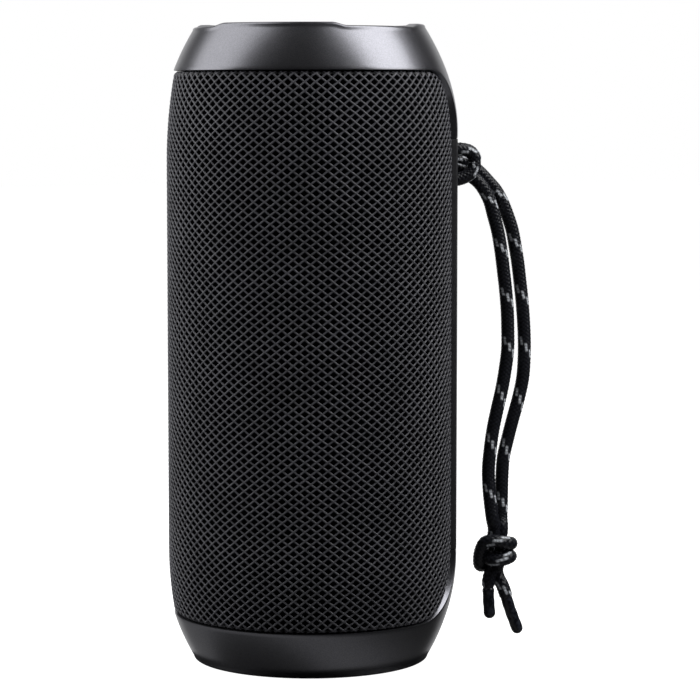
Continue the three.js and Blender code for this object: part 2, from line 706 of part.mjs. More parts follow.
// ---------------------------------------------------------------- assembly

function addShells() {
  add('top_cap', topCap(), 0x3d3d42, 0.35, 0.7);
  add('base_cap', baseCap(), 0x3d3d42, 0.35, 0.7);
  add('grille_fabric', fabricSleeve(), 0x232325, 0.95);
  add('grille_sleeve', grilleSleeve(), 0x141415, 0.8);
  add('acoustic_tube', acousticTube(), 0x1a1b1c, 0.7);
}

function addSpine() {
  add('spine_panel', spinePanel(), 0x1d1d20, 0.6);
  add('lanyard_pocket', lanyardPocket(), 0x1a1a1c, 0.7);
  add('port_bay', portBay(), 0x1a1a1c, 0.7);
  ['power', 'minus', 'play', 'plus', 'pair'].forEach((kind, i) => {
    add(`${kind}_button`, button(kind, buttonHeight(4 - i)), 0x2a2a2d, 0.6);
  });
  add('button_keypad', keypad(), 0x3a3a3c, 0.8);
  add('control_board', controlBoard(), 0x14502c, 0.6);
  add('light_pipe', lightPipe(), 0xdfe6ea, 0.3);
  add('microphone', rod('x', 1.9, [34.6, 36.9], [MIC.y, MIC.z], 12), 0xb0b3b6, 0.4, 0.8);
  add('port_door', portDoor(), 0x1b1b1d, 0.8);
  add('usb_socket', usbSocket(), 0xa8abae, 0.35, 0.9);
  add('aux_socket', auxSocket(), 0x101011, 0.6);
  add('card_slot', cardSlot(), 0xa8abae, 0.35, 0.9);
}

addShells();
addSpine();
DRIVER_Z.forEach((z, i) => addDriver(['lower', 'upper'][i], z));
addRadiator('top', false);
addRadiator('base', true);
addBattery();
add('main_board', mainBoard(), 0x14502c, 0.6);
addLeads();
addLanyard();

export default speaker;
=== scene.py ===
# Cylindrical speaker with a cord lanyard: the visible model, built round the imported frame.
# Lengths in the constants and in the builders are millimetres; meshes are written in metres.
import json
import math

import bmesh
import bpy
import numpy as np
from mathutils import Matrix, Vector
from mathutils.geometry import delaunay_2d_cdt


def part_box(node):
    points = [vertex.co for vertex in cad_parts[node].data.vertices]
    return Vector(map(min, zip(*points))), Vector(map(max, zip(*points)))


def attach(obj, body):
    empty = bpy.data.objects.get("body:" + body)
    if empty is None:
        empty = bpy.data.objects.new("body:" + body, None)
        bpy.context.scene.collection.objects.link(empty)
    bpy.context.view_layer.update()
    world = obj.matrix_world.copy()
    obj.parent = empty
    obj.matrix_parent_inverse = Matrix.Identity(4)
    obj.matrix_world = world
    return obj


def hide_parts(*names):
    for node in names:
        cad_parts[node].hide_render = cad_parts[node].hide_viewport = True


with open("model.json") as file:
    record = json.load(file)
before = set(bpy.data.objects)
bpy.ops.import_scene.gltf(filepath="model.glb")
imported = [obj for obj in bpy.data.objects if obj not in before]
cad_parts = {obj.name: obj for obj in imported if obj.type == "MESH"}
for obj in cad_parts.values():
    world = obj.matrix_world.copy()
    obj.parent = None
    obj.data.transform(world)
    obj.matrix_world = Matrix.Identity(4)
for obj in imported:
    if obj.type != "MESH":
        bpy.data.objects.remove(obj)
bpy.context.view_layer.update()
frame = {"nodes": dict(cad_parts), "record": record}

MM = 0.001

# Barrel, as in the frame
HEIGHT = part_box("top_cap")[1][2] / MM
SPINE_R = 41.0
FABRIC_R = 39.8
GAP = 0.3
BASE_CROWN = (30.0, 8.5, 2.08)
TOP_CROWN = (29.5, 9.65, 1.95)
BASE_TAPER = (31.0, 4.9, 2.0)
TOP_TAPER = (38.0, 5.3, 2.0)
BASE_EDGE = 13.2
TOP_EDGE = HEIGHT - 12.8
BASE_JOINT = 31.0
TOP_JOINT = 145.6
SPINE_HALF = 15.0
BASE_FLARE = 17.8
TOP_FLARE = 12.0
RIM_INNER = 28.6
RECESS_R = 26.8
RECESS_DEEP = 5.6
SEAT_R = 29.1
SEAT_DEEP = 10.8
DIP_DEEP = 0.9
DIPS = (63.0, 183.0, 303.0)
DIP_HALF = 24.8
DIP_SLOPE = 9.0
LEAN_HELD = 0.8
LEAN_HIGH = 26.0

# Cord routes, as in the frame, with the hitch and the knot drawn out
CORD_D = 3.76
TIP_D = 3.3
BIGHT = (46.3, -3.4, 138.9)
UPPER_WRAP = [
    (46.3, -3.4, 140.3), (44.9, -3.4, 141.8), (42.6, -3.4, 142.4), (40.4, -3.4, 142.4), (38.3, -3.3, 142.2),
    (36.0, -2.3, 141.9), (35.1, 0.2, 141.5), (36.2, 2.6, 141.0), (38.9, 3.4, 140.4), (41.7, 3.0, 139.7),
    (44.4, 2.3, 138.9), (46.9, 1.8, 137.6),
]
LOWER_WRAP = [
    (46.3, -3.4, 137.5), (45.3, -3.5, 135.8), (43.3, -3.5, 134.6), (41.2, -3.4, 134.0), (38.5, -3.4, 133.9),
    (36.0, -2.3, 134.3), (35.1, 0.2, 134.9), (36.2, 2.6, 135.8), (38.9, 3.4, 136.5), (41.6, 1.2, 136.9),
    (44.0, 0.4, 136.1), (46.2, -0.4, 134.8),
]
OUTER_STRAND = [
    (49.2, 135.8), (52.0, 132.9), (53.8, 130.9), (55.6, 127.9), (57.2, 124.2), (58.8, 119.5), (59.8, 114.5),
    (60.6, 109.8), (61.2, 104.9), (61.8, 99.9), (62.3, 94.2), (62.6, 88.5), (62.6, 82.9), (62.2, 77.2),
    (61.0, 71.5), (59.4, 65.8), (57.9, 60.1), (56.6, 54.5), (56.2, 48.8), (56.1, 43.1), (56.0, 37.0),
]
INNER_STRAND = [
    (48.6, 132.6), (51.3, 128.1), (52.5, 124.0), (53.8, 119.3), (54.8, 113.7), (55.5, 108.4), (56.2, 102.7),
    (56.7, 97.1), (56.9, 91.4), (56.9, 85.7), (56.2, 80.0), (55.2, 74.3), (53.9, 68.7), (52.7, 63.0),
    (51.9, 57.3), (51.4, 51.6), (51.6, 45.9), (52.2, 40.4), (52.7, 37.0),
]
STRAND_ASIDE = 1.4
OUTER_KNOT = [
    (55.9, 0.4, 34.4), (55.7, 0.9, 31.6), (55.1, 3.3, 28.8), (53.1, 4.3, 25.4), (51.0, 3.3, 23.3),
    (49.6, 1.0, 24.2), (49.3, -0.9, 27.8), (50.3, -2.4, 30.7), (52.6, -3.6, 31.2), (55.4, -3.9, 30.8),
    (57.7, -2.5, 30.2), (58.3, 0.2, 29.6), (57.1, 2.0, 27.6), (54.9, 1.0, 25.0), (53.0, 0.2, 22.4),
    (52.1, 0.0, 20.0), (51.9, 0.0, 18.0),
]
INNER_KNOT = [
    (53.5, -0.3, 34.4), (53.3, 0.0, 31.8), (52.3, 0.5, 29.4), (51.5, 0.1, 27.2), (51.7, -1.9, 25.9),
    (53.4, -3.7, 25.7), (55.8, -4.1, 26.1), (57.7, -2.2, 26.4), (58.2, 0.8, 26.0), (57.3, 3.5, 25.2),
    (56.0, 4.1, 23.4), (55.2, 2.8, 21.4), (55.3, 1.0, 19.6), (56.0, 0.2, 18.0),
]
LEFT_TIP = [(51.9, 0.0, 17.4), (52.0, 0.0, 14.0), (52.3, 0.0, 10.0)]
RIGHT_TIP = [(56.6, 0.0, 16.4), (58.3, 0.0, 11.0), (60.5, 0.0, 5.2)]

# Camera: direction it stands in, and what it looks at
CAMERA_TURN = math.radians(12.0)
CAMERA_AWAY = 780.0
CAMERA_HIGH = 158.0
AIM_RIGHT = 11.06
AIM_HIGH = 86.5
LENS = 144.0

# Light of the room in front of the object, of the white wall behind it and of the floor round it
ROOM = 0.03
WALL = 1.0
FLOOR = 0.22
WALL_EDGE = (0.74, 0.98)
FLOOR_CURVE = ((0.15, 0.0), (0.4, 0.35), (0.62, 0.95), (0.76, 1.0), (0.82, 0.5), (0.88, 0.1))
FLOOR_HALF = 4000.0
# radius of the black disc that paints the floor's contact shadow under the base
SHADE_R = 35.3

# name, turn, low, high, width, power, and whether it shows in gloss
LIGHTS = (
    ("soft_left", -97.0, 0.0, 74.0, 500.0, 2.6, True),
    ("soft_right", 80.0, 22.0, 74.0, 420.0, 2.9, True),
    ("fill_left", -75.0, 5.0, 50.0, 400.0, 1.3, False),
    ("fill_right", 55.0, 5.0, 50.0, 400.0, 0.65, False),
)
LIGHT_AWAY = 640.0
LIGHT_AIM = 100.0


# ---- camera, light and floor

def camera_point(right, away, high):
    """A place given from the camera's side: to its right, towards it, and up."""
    x = right * math.cos(CAMERA_TURN) - away * math.sin(CAMERA_TURN)
    y = -right * math.sin(CAMERA_TURN) - away * math.cos(CAMERA_TURN)
    return Vector((x, y, high)) * MM


def aimed(obj, target):
    obj.rotation_euler = (target - obj.location).to_track_quat("-Z", "Y").to_euler()


def link(obj):
    bpy.context.scene.collection.objects.link(obj)
    return obj


def add_camera():
    data = bpy.data.cameras.new("view")
    data.lens = LENS
    data.sensor_width = 36.0
    data.clip_end = 20.0
    obj = link(bpy.data.objects.new("view", data))
    obj.location = camera_point(0.0, CAMERA_AWAY, CAMERA_HIGH)
    aimed(obj, camera_point(AIM_RIGHT, 0.0, AIM_HIGH))
    bpy.context.scene.camera = obj


def set_range(node, *values):
    for socket, value in zip(("From Min", "From Max", "To Min", "To Max"), values):
        node.inputs[socket].default_value = value


def add_softbox(name, turn, low, high, wide, power, glossy):
    """A tall soft box to the right of the camera by a turn, seen between two heights, all in degrees."""
    turn, low, high = (math.radians(a) for a in (turn, low, high))
    data = bpy.data.lights.new(name, "AREA")
    data.shape = "RECTANGLE"
    data.size = wide * MM
    data.size_y = 2 * LIGHT_AWAY * math.tan((high - low) / 2) * MM
    data.energy = power
    obj = link(bpy.data.objects.new(name, data))
    up = (low + high) / 2
    flat = LIGHT_AWAY * math.cos(up)
    above = LIGHT_AIM + LIGHT_AWAY * math.sin(up)
    obj.location = camera_point(flat * math.sin(turn), flat * math.cos(turn), above)
    aimed(obj, Vector((0, 0, LIGHT_AIM * MM)))
    obj.visible_glossy = glossy


def set_floor_curve(mapping):
    """How bright the floor is, by how steeply it is looked down on."""
    curve = mapping.curves[0]
    mapping.clip_min_x = -1.0
    for point, end in zip(curve.points, (-1.0, 1.0)):
        point.location = (end, 0.0)
    for spot in FLOOR_CURVE:
        curve.points.new(*spot)
    mapping.update()


def add_world():
    """White to the eye; as a light, a white wall behind the object and a dim room in front."""
    world = bpy.data.worlds.new("studio")
    bpy.context.scene.world = world
    world.use_nodes = True
    tree = world.node_tree
    tree.nodes.clear()
    new = tree.nodes.new
    place = new("ShaderNodeTexCoord")
    along = new("ShaderNodeVectorMath")
    along.operation = "DOT_PRODUCT"
    along.inputs[1].default_value = (math.sin(CAMERA_TURN), math.cos(CAMERA_TURN), 0.05)
    fade = new("ShaderNodeMapRange")
    fade.interpolation_type = "SMOOTHSTEP"
    set_range(fade, *WALL_EDGE, ROOM, WALL)
    below = new("ShaderNodeVectorMath")
    below.operation = "DOT_PRODUCT"
    below.inputs[1].default_value = (-0.35 * math.cos(CAMERA_TURN), 0.35 * math.sin(CAMERA_TURN), -0.94)
    floor = new("ShaderNodeFloatCurve")
    set_floor_curve(floor.mapping)
    both = new("ShaderNodeMath")
    both.operation = "MULTIPLY_ADD"
    both.inputs[1].default_value = FLOOR
    lit = new("ShaderNodeBackground")
    seen = new("ShaderNodeBackground")
    seen.inputs["Color"].default_value = (1.0, 1.0, 1.0, 1.0)
    paths = new("ShaderNodeLightPath")
    mix = new("ShaderNodeMixShader")
    out = new("ShaderNodeOutputWorld")
    for source, target in (
        (place.outputs["Generated"], along.inputs[0]),
        (along.outputs["Value"], fade.inputs["Value"]),
        (place.outputs["Generated"], below.inputs[0]),
        (below.outputs["Value"], floor.inputs["Value"]),
        (floor.outputs["Value"], both.inputs[0]),
        (fade.outputs["Result"], both.inputs[2]),
        (both.outputs[0], lit.inputs["Strength"]),
        (paths.outputs["Is Camera Ray"], mix.inputs["Fac"]),
        (lit.outputs[0], mix.inputs[1]),
        (seen.outputs[0], mix.inputs[2]),
        (mix.outputs[0], out.inputs["Surface"]),
    ):
        tree.links.new(source, target)


def stage_sheet(name, material, corners, colour):
    """A flat piece of the studio, with its material's surface to set further."""
    data = bpy.data.meshes.new(name)
    data.from_pydata(corners, [], [list(range(len(corners)))])
    obj = link(bpy.data.objects.new(name, data))
    shade = bpy.data.materials.new(material)
    shade.use_nodes = True
    data.materials.append(shade)
    surface = shade.node_tree.nodes["Principled BSDF"]
    surface.inputs["Base Color"].default_value = (*colour, 1)
    return obj, surface


def add_floor():
    half = FLOOR_HALF * MM
    corners = [(-half, -half, 0), (half, -half, 0), (half, half, 0), (-half, half, 0)]
    obj, surface = stage_sheet("floor", "floor_white", corners, (0.6, 0.6, 0.6))
    surface.inputs["Roughness"].default_value = 0.9
    surface.inputs["Emission Color"].default_value = (1, 1, 1, 1)
    surface.inputs["Emission Strength"].default_value = 0.97
    obj.visible_glossy = False
    obj.visible_diffuse = False


def add_contact_shade():
    """A painted shadow: a black disc standing for the floor's shade close under the base, seen in the
    object's reflections; the floor hides it from above.
    """
    turn = np.linspace(0.0, 2 * math.pi, 65)[:-1]
    ring = [(SHADE_R * MM * math.cos(a), SHADE_R * MM * math.sin(a), -0.05 * MM) for a in turn]
    stage_sheet("contact_shade", "painted_contact_shadow", ring, (0.01, 0.01, 0.01))


add_camera()
add_world()
add_floor()
add_contact_shade()
for light in LIGHTS:
    add_softbox(*light)
bpy.context.scene.view_settings.view_transform = "Standard"


# ---- mesh helpers

def piece(name, points, faces, body="housing"):
    """A mesh piece from points in millimetres, riding on its body."""
    data = bpy.data.meshes.new(name)
    data.from_pydata(np.asarray(points, float) * MM, [], faces)
    data.validate()
    data.shade_smooth()
    obj = link(bpy.data.objects.new(name, data))
    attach(obj, body)
    return obj


def mark(obj, name, values):
    """Writes one number per point for the material to read."""
    attribute = obj.data.attributes.new(name, "FLOAT", "POINT")
    attribute.data.foreach_set("value", values.astype(np.float32).ravel())


def grid_faces(rows, columns, wrap_rows=False, wrap_columns=False):
    i = np.arange(rows if wrap_rows else rows - 1)
    j = np.arange(columns if wrap_columns else columns - 1)
    a, b = np.meshgrid(i, j, indexing="ij")
    down, right = (a + 1) % rows, (b + 1) % columns
    corners = [a * columns + b, a * columns + right, down * columns + right, down * columns + b]
    return np.stack(corners, -1).reshape(-1, 4)


def tube_faces(rows, sides):
    """Faces of a tube of rings, closed at both ends."""
    faces = grid_faces(rows, sides, wrap_columns=True).tolist()
    return faces + [list(range(sides))[::-1], list(range((rows - 1) * sides, rows * sides))]


def clean(obj, merge, sharp=None):
    """Joins doubled points, turns every face outwards and sets where shading breaks."""
    mesh = bmesh.new()
    mesh.from_mesh(obj.data)
    bmesh.ops.remove_doubles(mesh, verts=mesh.verts, dist=merge)
    bmesh.ops.recalc_face_normals(mesh, faces=mesh.faces)
    mesh.to_mesh(obj.data)
    mesh.free()
    obj.data.shade_smooth()
    if sharp:
        obj.data.set_sharp_from_angle(angle=math.radians(sharp))


def inset(part, crown):
    length, drop, power = crown
    return drop * np.maximum(0.0, 1.0 - part / length) ** power


def shell_radius(z):
    return SPINE_R - inset(z, BASE_CROWN) - inset(HEIGHT - z, TOP_CROWN)


def fabric_radius(z):
    return FABRIC_R - inset(z, BASE_TAPER) - inset(HEIGHT - z, TOP_TAPER)


def smoothstep(x):
    x = np.clip(x, 0.0, 1.0)
    return x * x * (3 - 2 * x)


# ---- material helpers

class Shade:
    """A procedural material: one Principled surface and the nodes that feed it."""

    def __init__(self, name, colour, roughness, metallic, slot=None):
        self.material = bpy.data.materials.new(name)
        self.material.use_nodes = True
        self.tree = self.material.node_tree
        self.surface = self.tree.nodes["Principled BSDF"]
        self.colour = colour
        self.slot = slot
        self.set("Base Color", (*colour, 1.0))
        self.set("Roughness", roughness)
        self.set("Metallic", metallic)
        self.place = self.new("ShaderNodeTexCoord").outputs["Object"]
        self.height = None

    def set(self, socket, value):
        self.surface.inputs[socket].default_value = value

    def new(self, kind):
        return self.tree.nodes.new(kind)

    def join(self, source, target):
        self.tree.links.new(source, target)

    def noise(self, per_mm, detail, stretch=None):
        node = self.new("ShaderNodeTexNoise")
        node.inputs["Scale"].default_value = per_mm / MM
        node.inputs["Detail"].default_value = detail
        source = self.place
        if stretch:
            mapping = self.new("ShaderNodeMapping")
            mapping.inputs["Scale"].default_value = stretch
            self.join(source, mapping.inputs["Vector"])
            source = mapping.outputs["Vector"]
        self.join(source, node.inputs["Vector"])
        return node.outputs["Fac"]

    def attribute(self, name):
        node = self.new("ShaderNodeAttribute")
        node.attribute_name = name
        return node.outputs["Fac"]

    def ramp(self, source, low, high, out_low=0.0, out_high=1.0):
        node = self.new("ShaderNodeMapRange")
        set_range(node, low, high, out_low, out_high)
        self.join(source, node.inputs["Value"])
        return node.outputs["Result"]

    def tint(self, share, one, other):
        """Base colour from one to the other by a share; one may be an earlier colour output."""
        node = self.new("ShaderNodeMix")
        node.data_type = "RGBA"
        self.join(share, node.inputs["Factor"])
        for index, value in ((6, one), (7, other)):
            if isinstance(value, tuple):
                node.inputs[index].default_value = (*value, 1.0)
            else:
                self.join(value, node.inputs[index])
        self.join(node.outputs[2], self.surface.inputs["Base Color"])
        return node.outputs[2]

    def roughness(self, source, low, high):
        self.join(self.ramp(source, 0.3, 0.7, low, high), self.surface.inputs["Roughness"])

    def bump(self, source, depth, strength):
        node = self.new("ShaderNodeBump")
        node.inputs["Distance"].default_value = depth * MM
        node.inputs["Strength"].default_value = strength
        self.join(source, node.inputs["Height"])
        if self.height is not None:
            self.join(self.height, node.inputs["Normal"])
        self.height = node.outputs["Normal"]
        self.join(self.height, self.surface.inputs["Normal"])

    def on(self, *objects):
        for obj in objects:
            obj.data.materials.clear()
            obj.data.materials.append(self.material)


def around(colour):
    """A colour a little darker and a little lighter."""
    return tuple(0.8 * c for c in colour), tuple(1.2 * c for c in colour)


def paint_shade():
    """Satin metallic paint: dark base, fine flake grain and a faint orange peel."""
    shade = Shade("cap_paint", (0.25, 0.25, 0.27), 0.36, 0.95, "cap_paint")
    grain = shade.noise(5.5, 1.0)
    shade.tint(shade.ramp(grain, 0.35, 0.65), (0.2, 0.2, 0.22), (0.29, 0.29, 0.318))
    shade.roughness(shade.noise(1.4, 3.0), 0.28, 0.33)
    shade.bump(grain, 0.02, 0.3)
    shade.bump(shade.noise(0.5, 2.0), 0.05, 0.12)
    shade.set("Coat Weight", 0.2)
    shade.set("Coat Roughness", 0.3)
    return shade


# ---- lanyard

def between(t, start, end, one, other):
    return (end - t) / (end - start) * one + (t - start) / (end - start) * other


def smooth_path(points, step):
    """Even points along a smooth curve through given ones (centripetal Catmull-Rom)."""
    p = np.asarray(points, float)
    p = np.vstack([2 * p[0] - p[1], p, 2 * p[-1] - p[-2]])
    dense = []
    for a, b, c, d in zip(p, p[1:], p[2:], p[3:]):
        t0, t1, t2, t3 = np.cumsum([0.0, *np.linalg.norm([b - a, c - b, d - c], axis=1) ** 0.5])
        t = np.linspace(t1, t2, 24, endpoint=False)[:, None]
        middle = between(t, t1, t2, b, c)
        one = between(t, t0, t2, between(t, t0, t1, a, b), middle)
        other = between(t, t1, t3, middle, between(t, t2, t3, c, d))
        dense.append(between(t, t1, t2, one, other))
    dense = np.vstack([*dense, p[-2][None]])
    for _ in range(6):
        dense[1:-1] = 0.25 * dense[:-2] + 0.5 * dense[1:-1] + 0.25 * dense[2:]
    along = np.concatenate([[0.0], np.cumsum(np.linalg.norm(np.diff(dense, axis=0), axis=1))])
    even = np.linspace(0.0, along[-1], max(4, int(round(along[-1] / step)) + 1))
    return np.stack([np.interp(even, along, dense[:, k]) for k in range(3)], -1), even


def path_frames(path, anchor):
    """Two directions across the path at each point, carried both ways from one place with no twist."""
    way = np.gradient(path, axis=0)
    way /= np.linalg.norm(way, axis=1)[:, None]
    side = np.zeros_like(way)
    for places in (range(anchor, len(path)), range(anchor, -1, -1)):
        last = np.array((0.0, -1.0, 0.0))
        for i in places:
            last = last - way[i] * (last @ way[i])
            last /= np.linalg.norm(last)
            side[i] = last
    return side, np.cross(way, side), way


def rings(side, lift, turn):
    """Directions out from the path, for each of its points and each turn."""
    return np.cos(turn)[None, :, None] * side[:, None] + np.sin(turn)[None, :, None] * lift[:, None]


CORD_STEP = 0.144
CORD_SIDES = 64
TIP_STEP = 0.2
TIP_SIDES = 32
SLIM_FROM_END = 4.3
SLIM_OVER = 1.4
BRAID_AROUND = 8
BRAID_ALONG = 1.15
BRAID_HIGH = 0.18
FLECK_COLUMNS = 8
FLECK_HALF = 0.31
FLECK_LONG = 2.7
FLECK_LEAN = 0.1


def braid(turn, along, first, every):
    """Height of the braid, 0 to 1, and where its white flecks are, on a tube's turn and length.

    One white yarn winds down the cord, once round in every so many millimetres, and shows as a
    short dash in each column of the braid."""
    u = turn / (2 * math.pi) * BRAID_AROUND
    v = along / BRAID_ALONG
    bumps = 0.5 + 0.5 * np.cos(2 * math.pi * u) * np.cos(2 * math.pi * v)
    w = turn / (2 * math.pi) * FLECK_COLUMNS
    column = np.round(w)
    down = (along - first + every * (column / FLECK_COLUMNS + 0.5)) % every - every / 2
    across = np.abs(w - column + FLECK_LEAN * down)
    soft = smoothstep((FLECK_HALF - across) / 0.1) * smoothstep((FLECK_LONG / 2 - np.abs(down)) / 0.35)
    # painted highlight: each dash is made lighter and darker in rungs along its length, as light on the
    # braid's crossings
    painted_rung_highlights = 0.8 + 0.2 * np.cos(2 * math.pi * down / 0.72)
    return bumps, soft * painted_rung_highlights


def make_cord(name, route, fleck_at, every, nodes):
    """A braided tube from the middle of the hitch to its tip, with a dash at the front at one height."""
    path, along = smooth_path(route, CORD_STEP)
    anchor = int(np.argmin(np.abs(path[:, 2] - fleck_at) + 50.0 * (along < 25.0)))
    side, lift, _ = path_frames(path, anchor)
    turn = (np.arange(CORD_SIDES) + 0.5) * 2 * math.pi / CORD_SIDES - math.pi
    bumps, fleck = braid(turn[None, :], along[:, None], along[anchor], every)
    radius = CORD_D / 2 - 0.12 + BRAID_HIGH * bumps
    # the end is drawn down to fit inside its tip
    slim = smoothstep((along - along[-1] + SLIM_FROM_END) / SLIM_OVER)[:, None]
    radius = radius * (1 - slim) + (TIP_D / 2 - 0.25) * slim
    points = path[:, None] + rings(side, lift, turn) * radius[..., None]
    rows = len(path)
    obj = piece(name, points.reshape(-1, 3), tube_faces(rows, CORD_SIDES), body="lanyard")
    mark(obj, "fleck", fleck * (1 - slim))
    # how far down each point lies in the braid's grooves, which the cord's material paints as shade
    mark(obj, "groove", 1 - bumps)
    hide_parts(*nodes)
    return obj


def make_tip(name, route, node):
    """A shrunk sleeve over the cord's end, closed and rounded, with a soft rolled mouth."""
    path, along = smooth_path(route, TIP_STEP)
    side, lift, way = path_frames(path, 0)
    turn = np.arange(TIP_SIDES) * 2 * math.pi / TIP_SIDES
    ring = rings(side, lift, turn)
    start = along / 1.2
    radius = TIP_D / 2 + 0.12 * np.exp(-((along - 0.6) / 0.5) ** 2) + 0.04 * np.sin(along * 1.9)
    radius *= 0.72 + 0.28 * np.sqrt(np.clip(start, 0, 1))
    body = path[:, None] + ring * radius[:, None, None]
    rounds = []
    for a in np.linspace(0.0, math.pi / 2, 9)[1:]:
        middle = path[-1] + way[-1] * radius[-1] * math.sin(a)
        rounds.append(middle[None] + ring[-1] * radius[-1] * max(math.cos(a), 1e-3))
    points = np.vstack([body, np.array(rounds)])
    faces = tube_faces(len(points), TIP_SIDES)
    obj = piece(name, points.reshape(-1, 3), faces, body="lanyard")
    clean(obj, 1e-6)
    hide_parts(node)
    return obj


def cord_shade():
    """Black braided cord with white flecks; the braid's ridges are coloured a lighter blue as painted sheen
    and its grooves near black as painted shade.
    """
    shade = Shade("cord_weave", (0.008, 0.009, 0.012), 0.38, 0.0, "cord_weave")
    # painted sheen and shade: colour from a lighter blue on the braid's ridges to near black down in its
    # grooves
    dark = shade.tint(shade.attribute("groove"), (0.022, 0.024, 0.034), (0.002, 0.002, 0.003))
    shade.tint(shade.attribute("fleck"), dark, (0.9, 0.94, 1.0))
    shade.bump(shade.noise(7.0, 2.0, (1.0, 1.0, 0.35)), 0.04, 0.35)
    shade.set("Specular IOR Level", 0.5)
    return shade


def tip_shade():
    """Shrunk sleeve: dark, slightly clouded, with broad soft gloss."""
    shade = Shade("cord_sleeve", (0.01, 0.011, 0.016), 0.24, 0.0, "cord_sleeve")
    wear = shade.noise(0.7, 3.0)
    shade.tint(shade.ramp(wear, 0.4, 0.75), (0.008, 0.009, 0.013), (0.05, 0.053, 0.07))
    shade.bump(wear, 0.12, 0.3)
    return shade


def add_lanyard():
    left = make_tip("left_tip", LEFT_TIP, "left_cord_tip")
    right = make_tip("right_tip", RIGHT_TIP, "right_cord_tip")
    outer = [(x, STRAND_ASIDE, z) for x, z in OUTER_STRAND]
    inner = [(x, -STRAND_ASIDE, z) for x, z in INNER_STRAND]
    outer_route = [BIGHT, *UPPER_WRAP, *outer, *OUTER_KNOT, *LEFT_TIP[:2]]
    inner_route = [BIGHT, *LOWER_WRAP, *inner, *INNER_KNOT, *RIGHT_TIP[:2]]
    cords = [
        make_cord("outer_cord", outer_route, 115.8, 15.0, ["lanyard_hitch", "outer_strand"]),
        make_cord("inner_cord", inner_route, 114.6, 14.1, ["inner_strand", "lanyard_knot"]),
    ]
    cord_shade().on(*cords)
    tip_shade().on(left, right)


add_lanyard()


# ---- end caps

def flare(edge, joint, radius):
    """[arc, height] points of a cap's edge from the middle of the spine to the far side of the barrel."""
    sign = 1.0 if edge > joint else -1.0
    start = edge - sign * radius
    under = [(s, joint) for s in np.linspace(0.0, SPINE_HALF, 12)]
    turn = np.radians(np.linspace(0.0, 90.0, 25))
    corner = [(SPINE_HALF + radius * (1 - math.cos(a)), start + sign * radius * math.sin(a)) for a in turn]
    rest = [(s, edge) for s in np.linspace(corner[-1][0], math.pi * SPINE_R, 78)[1:]]
    return under[:-1] + [(SPINE_HALF - 0.05, joint)] + corner + rest


def dip(angle):
    """How deep the rim of the top cap is cut away at an angle, in degrees."""
    depth = 0.0
    for middle in DIPS:
        apart = abs((angle - middle + 180.0) % 360.0 - 180.0)
        depth = max(depth, float(smoothstep((DIP_HALF + DIP_SLOPE / 2 - apart) / DIP_SLOPE)))
    return DIP_DEEP * depth


def cap_section(low, top, crown):
    """Closed half section of a cap whose outside runs from its joint up to its rim."""
    outside = lambda z: SPINE_R - inset(HEIGHT - z, crown)
    points = [(outside(low) - 2.4, low), (outside(low) - 0.34, low), (outside(low) - 0.1, low + 0.09)]
    crown_top = top - 0.9
    points += [(float(outside(z)), z) for z in np.linspace(low + 0.32, crown_top, 17)]
    middle = (float(outside(crown_top)) - 0.9, crown_top)
    for a in np.radians((22.0, 45.0, 68.0, 90.0)):
        points.append((middle[0] + 0.9 * math.cos(a), middle[1] + 0.9 * math.sin(a)))
    points += [(RIM_INNER + 0.3, top), (RIM_INNER, top - 0.12), (RECESS_R + 0.1, top - 2.6 + (HEIGHT - top))]
    points += [(RECESS_R, HEIGHT - 3.0), (RECESS_R, HEIGHT - RECESS_DEEP + 0.2)]
    points += [(RECESS_R + 0.2, HEIGHT - RECESS_DEEP), (SEAT_R, HEIGHT - RECESS_DEEP)]
    points += [(SEAT_R, HEIGHT - SEAT_DEEP), (34.9, HEIGHT - SEAT_DEEP)]
    points += [(34.9, max(HEIGHT - 18.0, low + 0.6))]
    return points


def make_cap(name, crown, edge, joint, radius, upside_down=False):
    """A cap as a loft of its section round the barrel.

    The base cap is made as a top cap with a plain rim, turned over."""
    if upside_down:
        edge, joint = HEIGHT - edge, HEIGHT - joint
    half = flare(edge, joint, radius)
    columns = [(-s, z) for s, z in half[:0:-1]] + half[:-1]
    sections = []
    for arc, low in columns:
        angle = arc / SPINE_R
        top = HEIGHT - (0.0 if upside_down else dip(math.degrees(angle)))
        held = min(abs(angle), LEAN_HELD)
        across = SPINE_R * math.sin(held)
        fade = min(1.0, (math.pi - abs(angle)) / (math.pi - LEAN_HELD))
        section = []
        for reach, z in cap_section(low, top, crown):
            # near the spine the edge keeps its place across, as it does in the frame
            lean = (math.asin(across / max(reach, 34.0)) - held) * fade
            lean *= float(smoothstep(1.0 - (z - low) / LEAN_HIGH))
            turn = angle + math.copysign(lean, angle)
            section.append((reach * math.cos(turn), reach * math.sin(turn), z))
        sections.append(section)
    points = np.array(sections)
    if upside_down:
        points[..., 2] = HEIGHT - points[..., 2]
    rows, count = points.shape[:2]
    faces = grid_faces(rows, count, wrap_rows=True, wrap_columns=True).tolist()
    obj = piece(f"{name}_shell", points.reshape(-1, 3), faces)
    clean(obj, 1e-7, 32.0)
    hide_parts(name)
    return obj


paint_shade().on(
    make_cap("top_cap", TOP_CROWN, TOP_EDGE, TOP_JOINT, TOP_FLARE),
    make_cap("base_cap", BASE_CROWN, BASE_EDGE, BASE_JOINT, BASE_FLARE, upside_down=True),
)


# ---- grille fabric

# Millimetres, but THREAD_CUTS are shares of the distance between threads, and HOLE_BELOW is a share
# of a thread's height
CELL_WIDE = 3.09
CELL_HIGH = 2.35
THREAD_APART = 1.87
THREAD_HALF = 0.3
THREAD_HIGH = 0.4
THREAD_CUTS = np.array([-0.5, -0.157, -0.09, 0.0, 0.09, 0.157])
FABRIC_ROLL = 0.9
SELVAGE = 0.45
HOLE_BELOW = 0.3
PANELS = 4


